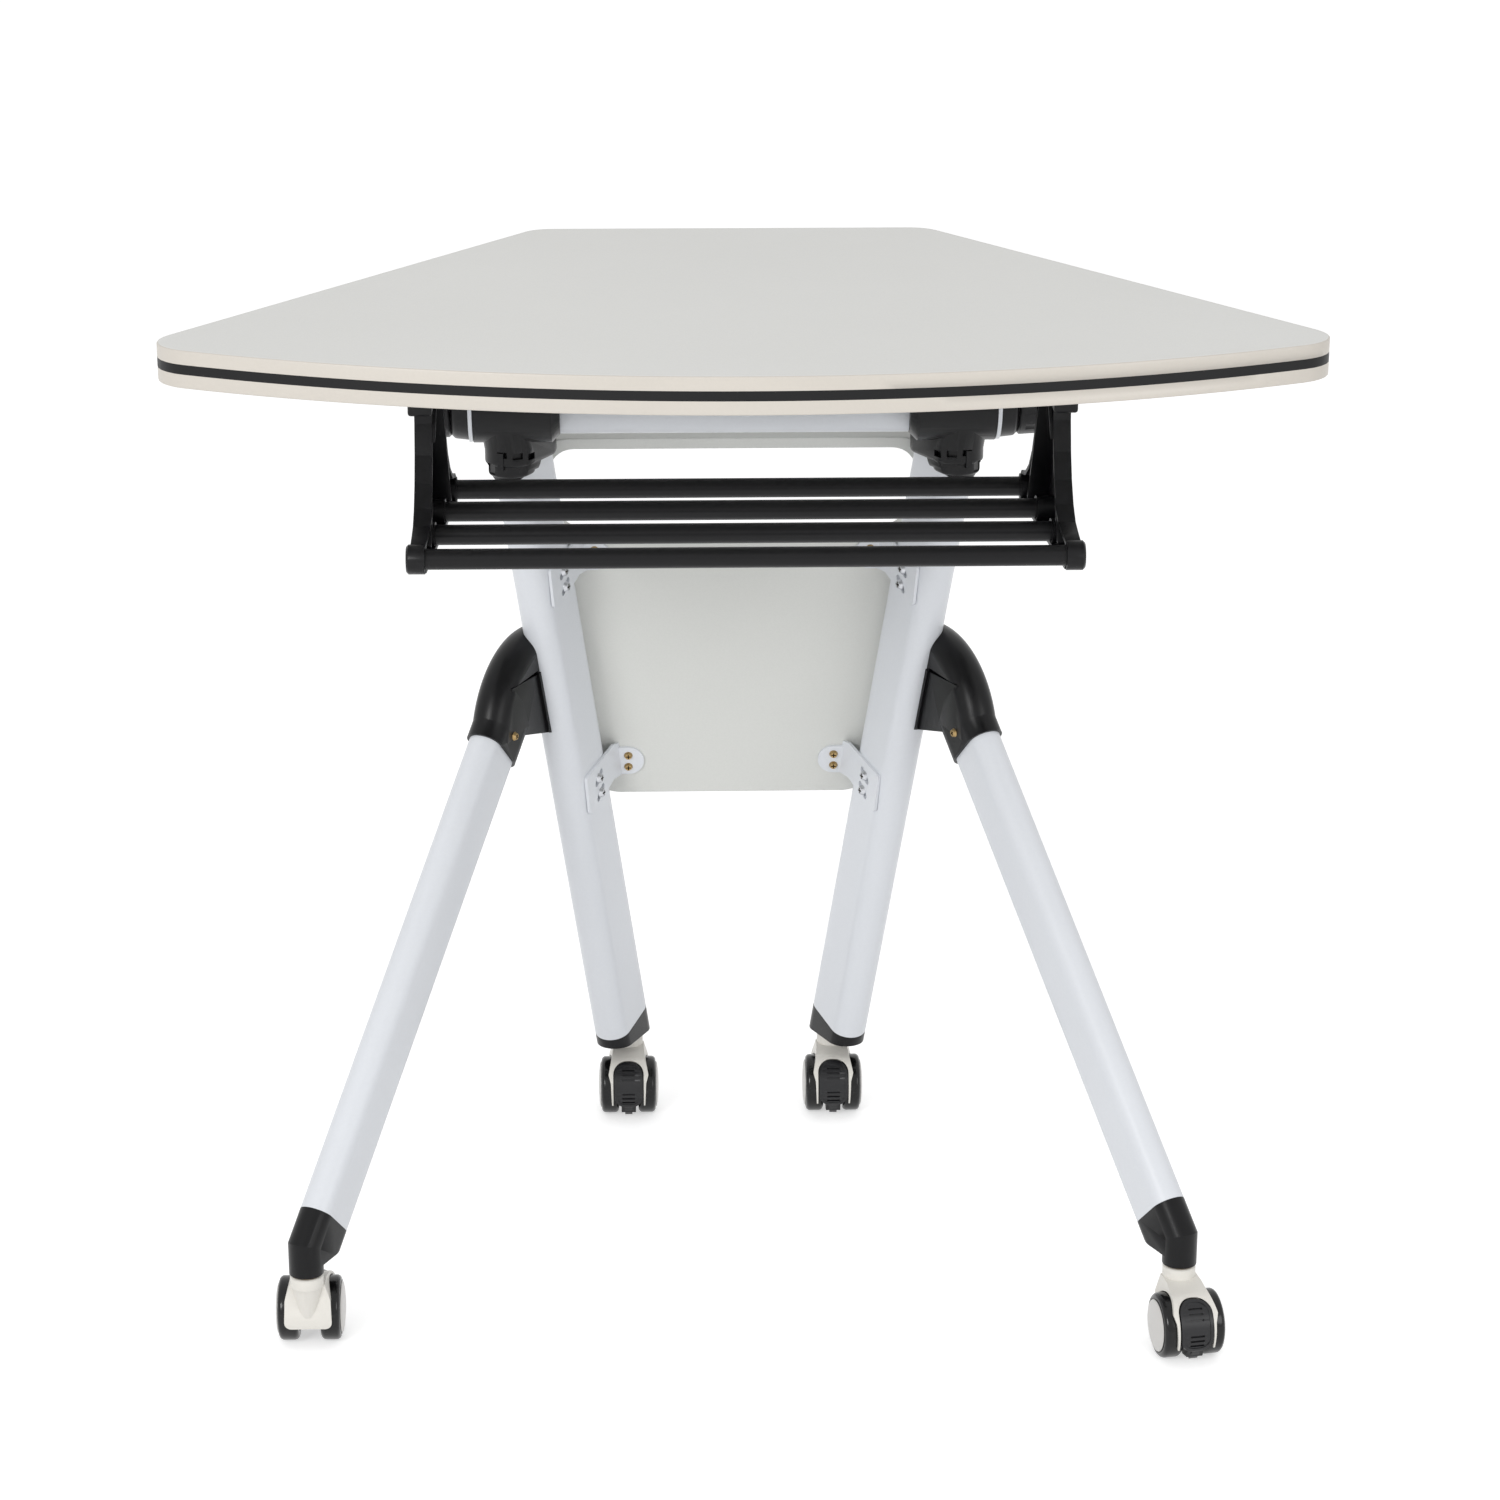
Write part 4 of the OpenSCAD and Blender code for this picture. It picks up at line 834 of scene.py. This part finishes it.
class DESK_OT_castors(bpy.types.Operator):
    """Make the castors: forks, brake pedals, axles and turned wheels"""
    bl_idname = "desk.castors"
    bl_label = "Castors"

    # The pedal's grooves: degrees above the level through the axle, size into, along and up the pad,
    # and how far the middle of each lies under the pad's face
    groove_angles = (-12, -4, 4, 29, 38, 47)
    groove_size = (2.6 * MM, 10.4 * MM, 1.5 * MM)
    groove_middle = 0.8 * MM

    def execute(self, context):
        scene = context.scene
        castors = scene.desk_castors
        joints = {joint["name"]: joint for joint in frame["joints"]}
        for name in CASTORS:
            castor = "castor_" + name
            dressed(castor + "_fork", fork_plastic(scene), scene.desk_frame.moulded_arris)
            pedal = self.pedal(castor, joints[castor + "_spin_left"], joints[castor + "_swivel"])
            stand_in(pedal, castor + "_pedal", [pedal_plastic(scene)], 0.2 * MM)
            dressed(castor + "_axle", zinc_plate(scene), scene.desk_frame.metal_arris)
            for side in SIDES:
                self.wheel(scene, castors, castor + "_wheel_" + side, joints[f"{castor}_spin_{side}"])
        return {"FINISHED"}

    def pedal(self, castor, spin, swivel):
        """The brake pedal with its six grooves cut deeper."""
        pad = merged(castor + "_pedal")
        hub, axle = Vector(spin["pos_m"]), Vector(spin["axis"]).normalized()
        trail = hub - Vector(swivel["pos_m"])
        trail.z = 0
        trail.normalize()
        local = (Matrix.Translation(hub)
                 @ Matrix((trail, UPWARDS.cross(trail), UPWARDS)).transposed().to_4x4())
        reach = max((vert.co - hub - axle * (vert.co - hub).dot(axle)).length for vert in pad.verts)
        outwards = (Matrix.Translation((reach - self.groove_middle, 0, 0))
                    @ Matrix.Diagonal((*self.groove_size, 1)))
        grooves = bmesh.new()
        for angle in self.groove_angles:
            turned = local @ Matrix.Rotation(radians(-angle), 4, "Y")
            bmesh.ops.create_cube(grooves, size=1.0, matrix=turned @ outwards)
        return carved(pad, cut=[grooves])

    def wheel(self, scene, castors, node, joint):
        """Turns one wheel round its axle, with its hub cap on the outside."""
        cap_rise, cap_inset, cap_edge = 2.4 * MM, 4.75 * MM, 0.5 * MM
        hub, axle = Vector(joint["pos_m"]), Vector(joint["axis"]).normalized()
        low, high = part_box(node)
        radius = (high.z - low.z) / 2
        along = [(v.co - hub).dot(axle) for v in frame["nodes"][node].data.vertices]
        outward = 1 if max(along) > -min(along) else -1
        near = min(abs(value) for value in along)
        width = max(abs(value) for value in along) - near - cap_rise
        bm = turned(wheel_profile(castors, radius, width), castors.steps)
        for face in bm.faces:
            centre = face.calc_center_median()
            if centre.z > width - cap_edge and centre.xy.length < radius - cap_inset:
                face.material_index = 1
        turn = (axle * outward).to_track_quat("Z", "Y").to_matrix().to_4x4()
        bm.transform(Matrix.Translation(hub + axle * outward * near) @ turn)
        stand_in(bm, node, [tread_plastic(scene), cap_plastic(scene)], 0.2 * MM)


# Stage

KEY_PLACE, KEY_SIZE = (-2.0, -3.2, 2.0), 1.4
FILL_PLACE, FILL_SIZE = (2.4, -2.6, 1.4), 1.6
DESK_MIDDLE = Vector((0, 0, 0.45))
FLOOR_RADIUS = 30.0
FLOOR_GLOW = 0.5

# Where the photograph was taken from: place, then turn to the right, tilt down and roll in degrees
CAMERA_PLACE = (-0.0653, -2.5431, 1.229)
CAMERA_TURN, CAMERA_TILT, CAMERA_ROLL = 1.66, 18.0, 0.051


def aimed_lamp(name, place, size, power):
    """Large soft lamp that looks at the middle of the desk."""
    light = bpy.data.lights.new(name, "AREA")
    light.shape = "DISK"
    light.size = size
    light.energy = power
    lamp = bpy.data.objects.new(name, light)
    bpy.context.scene.collection.objects.link(lamp)
    lamp.location = place
    lamp.rotation_euler = (DESK_MIDDLE - Vector(place)).to_track_quat("-Z", "Y").to_euler()


def seen_directly(tree):
    """One for rays that show the background: from the camera, from gloss and through glass."""
    path = tree.nodes.new("ShaderNodeLightPath").outputs
    seen = reckon(tree, "MAXIMUM", path["Is Camera Ray"], path["Is Glossy Ray"])
    return reckon(tree, "MAXIMUM", seen, path["Is Transmission Ray"])


def floor_material(colour):
    """Pale floor that shows white where it is lit and keeps the desk's shadow."""
    material = bpy.data.materials.new("studio floor")
    material.use_nodes = True
    tree = material.node_tree
    shader = tree.nodes["Principled BSDF"]
    shader.inputs["Roughness"].default_value = 0.8
    shader.inputs["Specular IOR Level"].default_value = 0.1
    base = placed(tree, mottle_group(), Light=shade(colour, 1.01), Dark=shade(colour, 0.99), Cloud_Scale=1.5,
                  Fleck_Scale=60.0, Flecks=0.2)
    tree.links.new(base.outputs["Colour"], shader.inputs["Base Color"])
    shader.inputs["Emission Color"].default_value = (1, 1, 1, 1)
    glow = reckon(tree, "MULTIPLY", seen_directly(tree), FLOOR_GLOW)
    tree.links.new(glow, shader.inputs["Emission Strength"])
    return material


class DESK_OT_stage(bpy.types.Operator):
    """Make the floor, the lamps, the even background and the camera"""
    bl_idname = "desk.stage"
    bl_label = "Stage"

    def execute(self, context):
        scene = context.scene
        stage = scene.desk_stage
        bm = bmesh.new()
        bmesh.ops.create_circle(bm, cap_ends=True, segments=64, radius=FLOOR_RADIUS)
        mesh = bpy.data.meshes.new("studio_floor")
        bm.to_mesh(mesh)
        bm.free()
        mesh.materials.append(floor_material(stage.floor))
        floor = bpy.data.objects.new("studio_floor", mesh)
        scene.collection.objects.link(floor)

        aimed_lamp("key_lamp", KEY_PLACE, KEY_SIZE, stage.key)
        aimed_lamp("fill_lamp", FILL_PLACE, FILL_SIZE, stage.fill)

        world = bpy.data.worlds.new("studio")
        world.use_nodes = True
        scene.world = world
        tree = world.node_tree
        sky = tree.nodes["Background"]
        seen = seen_directly(tree)
        dim = reckon(tree, "SUBTRACT", 1.0, seen)
        sky.inputs["Color"].default_value = (1, 1, 1, 1)
        tree.links.new(reckon(tree, "MULTIPLY_ADD", dim, stage.sky, seen), sky.inputs["Strength"])

        turn, down, roll = radians(CAMERA_TURN), radians(CAMERA_TILT), radians(CAMERA_ROLL)
        right = Vector((cos(turn), -sin(turn), 0))
        ahead = Vector((sin(turn) * cos(down), cos(turn) * cos(down), -sin(down)))
        up = right.cross(ahead)
        across = right * cos(roll) + up * sin(roll)
        upward = up * cos(roll) - right * sin(roll)
        camera = bpy.data.objects.new("camera", bpy.data.cameras.new("camera"))
        camera.data.sensor_width = 36
        camera.data.lens = stage.lens
        scene.collection.objects.link(camera)
        camera.matrix_world = (Matrix.Translation(CAMERA_PLACE)
                               @ Matrix((across, upward, -ahead)).transposed().to_4x4())
        scene.camera = camera
        scene.view_settings.view_transform = "Standard"
        return {"FINISHED"}


# Sidebar

SETTINGS = {"desk_top": TopSettings, "desk_frame": FrameSettings, "desk_castors": CastorSettings,
            "desk_stage": StageSettings}
STEPS = [DESK_OT_tabletop, DESK_OT_leg_tubes, DESK_OT_leg_mouldings, DESK_OT_hinges, DESK_OT_book_rack,
         DESK_OT_modesty_panel, DESK_OT_screws, DESK_OT_castors, DESK_OT_stage]


class DESK_PT_pieces(bpy.types.Panel):
    """Lists the desk's pieces and their sizes and colours"""
    bl_label = "Student desk"
    bl_space_type = "VIEW_3D"
    bl_region_type = "UI"
    bl_category = "Desk"

    def draw(self, context):
        layout = self.layout
        for step in STEPS:
            layout.operator(step.bl_idname)
        for name in SETTINGS:
            box = layout.box()
            group = getattr(context.scene, name)
            for key in type(group).__annotations__:
                box.prop(group, key)


def register():
    for kind in list(SETTINGS.values()) + STEPS + [DESK_PT_pieces]:
        bpy.utils.register_class(kind)
    for name, kind in SETTINGS.items():
        setattr(bpy.types.Scene, name, PointerProperty(type=kind))


def unregister():
    for name in SETTINGS:
        delattr(bpy.types.Scene, name)
    for kind in [DESK_PT_pieces] + STEPS[::-1] + list(SETTINGS.values()):
        bpy.utils.unregister_class(kind)


def main():
    register()
    for step in STEPS:
        getattr(bpy.ops.desk, step.bl_idname.split(".")[1])()


if __name__ == "__main__":
    main()
